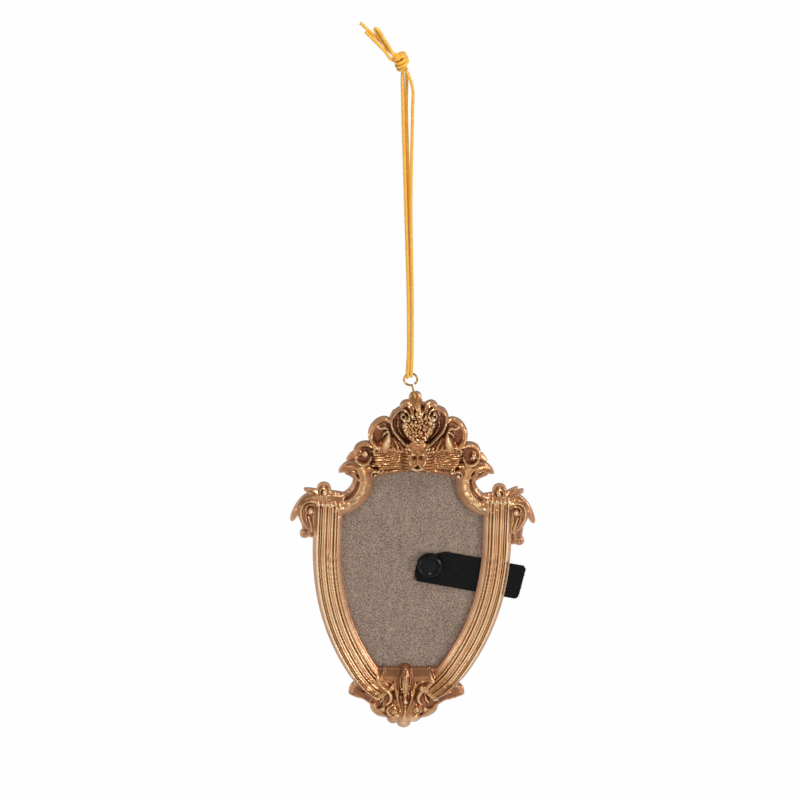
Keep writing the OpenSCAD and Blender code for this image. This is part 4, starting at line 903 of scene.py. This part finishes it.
for name, field in (("hollow", np.clip(0.5 + 0.36 * sampled(hollow, points), 0, 1)),
                    ("edge", np.clip(0.5 + 0.85 * sampled(fine_edge, points), 0, 1)),
                    ("outer_wall", outer_wall), ("inner_wall", inner_wall), ("rubbed_and_highlit", sampled(rubbed_and_highlit, points))):
    values = shaped.attributes.new(name, "FLOAT", "POINT")
    values.data.foreach_set("value", np.where(on_front, field, 0.5).astype(np.float32))
shaped.shade_smooth()
shaped.set_sharp_from_angle(angle=math.radians(48))

casting_paint, nodes, links, shader = new_material("casting_paint")


def attribute(name):
    """One of the values stored in the mesh."""
    node = nodes.new("ShaderNodeAttribute")
    node.attribute_name = name
    return node.outputs["Fac"]


def mixed(factor, one, two, mode="MIX"):
    """Two colours mixed, each a colour or a socket."""
    node = nodes.new("ShaderNodeMix")
    node.data_type = "RGBA"
    node.blend_type = mode
    for socket, value in ((node.inputs[0], factor), (node.inputs[6], one), (node.inputs[7], two)):
        if isinstance(value, (tuple, float)):
            socket.default_value = (*value, 1) if isinstance(value, tuple) else value
        else:
            links.new(value, socket)
    return node.outputs[2]


grain = mottled(900, 3)
patches = mottled(160)
# The pale cream gold is the colour of the painted highlights on ridges and rails.
dull_gold, highlight_gold, wall_copper, wall_shade = ((0.67, 0.535, 0.42), (0.95, 0.82, 0.66),
                                                 (0.62, 0.345, 0.185), (0.30, 0.125, 0.05))
# Brown wash that stays in the hollows, and a painted highlight: where the surface stands above its surroundings the
# ramp turns pale cream.
wash_and_highlight = ramp(attribute("hollow"), [(0.0, (0.25, 0.082, 0.024)), (0.28, (0.40, 0.155, 0.05)),
                                  (0.48, (0.60, 0.30, 0.12)), (0.68, (0.82, 0.52, 0.26)),
                                  (0.92, (1.0, 0.80, 0.53))])
# Fine ridges are painted lighter as painted highlight, and fine creases a little darker.
lit = ramp(attribute("edge"), [(0.2, (0.40, 0.35, 0.32)), (0.5, (0.5, 0.5, 0.5)), (0.85, (0.68, 0.67, 0.65))])
colour = mixed(0.85, wash_and_highlight, lit, "OVERLAY")
# Painted highlight: the sharpest ridges are mixed toward pale cream gold; elsewhere the colour is multiplied toward
# dull gold.
ridge_highlight = ramp(attribute("edge"), [(0.53, (0.0, 0.0, 0.0)), (0.95, (0.42, 0.42, 0.42))])
browned_with_ridge_highlight = mixed(ridge_highlight, mixed(1.0, colour, dull_gold, "MULTIPLY"), mixed(0.25, colour, highlight_gold))
# The rails, the shoulders and the foot's middle: rubbed gilt and painted highlight.
colour = mixed(attribute("rubbed_and_highlit"), browned_with_ridge_highlight, mixed(0.16, colour, highlight_gold))
colour = mixed(attribute("outer_wall"), colour, wall_copper)
colour = mixed(calculated("MULTIPLY", attribute("inner_wall"), 0.88), colour, wall_shade)
uneven = ramp(patches, [(0.35, (0.44, 0.42, 0.40)), (0.65, (0.56, 0.57, 0.58))])
colour = mixed(0.8, colour, uneven, "OVERLAY")
links.new(colour, shader.inputs["Base Color"])
links.new(between(0.24, 0.35, grain), shader.inputs["Roughness"])
shader.inputs["Metallic"].default_value = 0.68
shader.inputs["Coat Weight"].default_value = 0.35
shader.inputs["Coat Roughness"].default_value = 0.16
bumped(grain, 0.07, 0.0001)
painted(casting, casting_paint)
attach(casting, "root")
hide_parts("frame")

# The backing board. Thin stiff board, cut to the rebate and faced with greyish beige flock.
# It is pressed into the rebate from behind.
board_flock, nodes, links, shader = new_material("board_flock")
fibres = mottled(3000)
streaks = mottled(420, length=4)
flock = ramp(fibres, [(0.3, (0.08, 0.05, 0.037)), (0.42, (0.24, 0.168, 0.125)),
                      (0.58, (0.365, 0.268, 0.208)), (0.74, (0.53, 0.41, 0.33))])
cloudy = ramp(streaks, [(0.3, (0.46, 0.46, 0.46)), (0.7, (0.54, 0.54, 0.54))])
links.new(mixed(1.0, flock, cloudy, "OVERLAY"), shader.inputs["Base Color"])
shader.inputs["Roughness"].default_value = 0.95
shader.inputs["Specular IOR Level"].default_value = 0.1
shader.inputs["Sheen Weight"].default_value = 0.15
bumped(fibres, 0.5, 0.00015)
painted(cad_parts["backing_board"], board_flock)

# The strap. Black webbing in a close twill, riveted to the board, led out behind the right
# rail and cut off square by hand, so that a few threads stand out of its two cut ends.
strap_black, nodes, links, shader = new_material("strap_black")
where = nodes.new("ShaderNodeTexCoord")
turned_to_strap = nodes.new("ShaderNodeMapping")
turned_to_strap.inputs["Rotation"].default_value = (0, -strap_slope, 0)
links.new(where.outputs["Object"], turned_to_strap.inputs["Vector"])
strap_place = nodes.new("ShaderNodeSeparateXYZ")
links.new(turned_to_strap.outputs[0], strap_place.inputs[0])
twill_along, twill_across = 5200, 8200      # radians to the metre


def twill(along, across):
    """One set of slanting ridges."""
    slant = calculated("ADD", calculated("MULTIPLY", strap_place.outputs["X"], along),
                       calculated("MULTIPLY", strap_place.outputs["Z"], across))
    return calculated("SINE", slant)


woven = calculated("MAXIMUM", twill(twill_along, twill_across), twill(twill_along, -twill_across))
# Twill pattern, with the crests of its threads painted lighter as a painted sheen.
weave_with_sheen = ramp(woven, [(0.0, (0.002, 0.002, 0.002)), (0.6, (0.005, 0.0045, 0.0045)), (1.0, (0.026, 0.025, 0.025))])
links.new(weave_with_sheen, shader.inputs["Base Color"])
shader.inputs["Roughness"].default_value = 0.8
shader.inputs["Specular IOR Level"].default_value = 0.05
bumped(woven, 0.7, 0.00012)
edge_out, selvedge_at, selvedge_r = 0.22, 5.85, 0.37
near_cut, far_cut = -4.3, strap_l - 0.15
across_line = np.linspace(-strap_w / 2 - edge_out, strap_w / 2 + edge_out, 51)
along_line = np.linspace(0, 1, 121)
top, bottom = [], []
chance = np.random.default_rng(11)
ragged_far = chance.uniform(-0.18, 0.12, len(across_line))
ragged_near = chance.uniform(-0.1, 0.15, len(across_line))
for i, v in enumerate(across_line):
    if v < -3.2:                           # the near end's lower corner is cut at a slant
        near_end = near_cut - (v + 3.2) * 0.45 + max(0, ragged_near[i]) * 3
    else:
        near_end = near_cut + 0.16 * max(v + 1, 0) ** 2 + max(0, ragged_near[i])
    far_end = (far_cut - 0.1 * (strap_w / 2 - v) / strap_w - 0.5 * max(0, abs(v) - 4.8) ** 2
               - abs(ragged_far[i]))
    selvedge = math.sqrt(max(0.0, 1 - max(0, abs(v) - selvedge_at) ** 2 / selvedge_r ** 2))
    for t in along_line:
        u = near_end + (far_end - near_end) * t
        px, pz = on_strap(u, v)
        thick = strap_t * (0.55 + 0.45 * selvedge)
        middle_y = -rebate_d - strap_t / 2
        top.append((px, middle_y - thick / 2 + 0.02, pz))
        bottom.append((px, middle_y + thick / 2 - 0.02, pz))
rows, columns = len(across_line), len(along_line)
strap_faces = []
for i in range(rows - 1):
    for j in range(columns - 1):
        a, b, c, d = i * columns + j, i * columns + j + 1, (i + 1) * columns + j + 1, (i + 1) * columns + j
        strap_faces += [(a, b, c, d), tuple(rows * columns + k for k in (d, c, b, a))]
loop_edge = list(range(columns)) + [i * columns + columns - 1 for i in range(1, rows)]
loop_edge += [(rows - 1) * columns + j for j in range(columns - 2, -1, -1)]
loop_edge += [i * columns for i in range(rows - 2, 0, -1)]
for a, b in zip(loop_edge, loop_edge[1:] + loop_edge[:1]):
    strap_faces.append((b, a, rows * columns + a, rows * columns + b))
strap_vertices = top + bottom
thread_round = np.arange(5) / 5 * 2 * math.pi
far_threads, near_threads = 22, 12
for k in range(far_threads + near_threads):
    far = k < far_threads
    v = chance.uniform(-5.7, 5.7) if far else chance.uniform(-6.0, -3.8)
    u = strap_l - 0.9 if far else -3.6
    lean = chance.uniform(-0.5, 0.5)
    length = chance.uniform(0.25, 0.75) if far else chance.uniform(0.3, 0.8)
    out = 1 if far else -1
    start = on_strap(u, v)
    tip = on_strap(u + out * (0.6 if far else 0.4) + out * length * 0.6, v + lean * length)
    y = -rebate_d - strap_t * chance.uniform(0.25, 0.8)
    bend = ((start[0] + tip[0]) / 2, y, (start[1] + tip[1]) / 2 + lean * 0.05)
    line = np.array([(start[0], y, start[1]), bend, (tip[0], y - 0.05, tip[1])])
    points, hair = sweep(line, lambda i: (np.full(5, 0.07 - 0.02 * i), thread_round))
    base = len(strap_vertices)
    strap_vertices += [tuple(p) for p in points]
    strap_faces += [tuple(base + n for n in f) for f in hair]
strap = new_object("webbing_strap", place(strap_vertices), strap_faces)
strap.data.set_sharp_from_angle(angle=math.radians(50))
painted(strap, strap_black)
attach(strap, "root")
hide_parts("strap")

# The rivet. A glossy black plastic cap with a raised rim round a dished middle, and a flat
# flange behind the board, closed through strap and board.
rivet_black, nodes, links, shader = new_material("rivet_black")
smears = mottled(500)
gloss_black = ramp(smears, [(0.35, (0.004, 0.004, 0.0045)), (0.7, (0.009, 0.009, 0.010))])
links.new(gloss_black, shader.inputs["Base Color"])
links.new(between(0.2, 0.36, smears), shader.inputs["Roughness"])
shader.inputs["Specular IOR Level"].default_value = 0.13
for name in ("rivet_cap", "rivet_back"):
    painted(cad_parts[name], rivet_black)
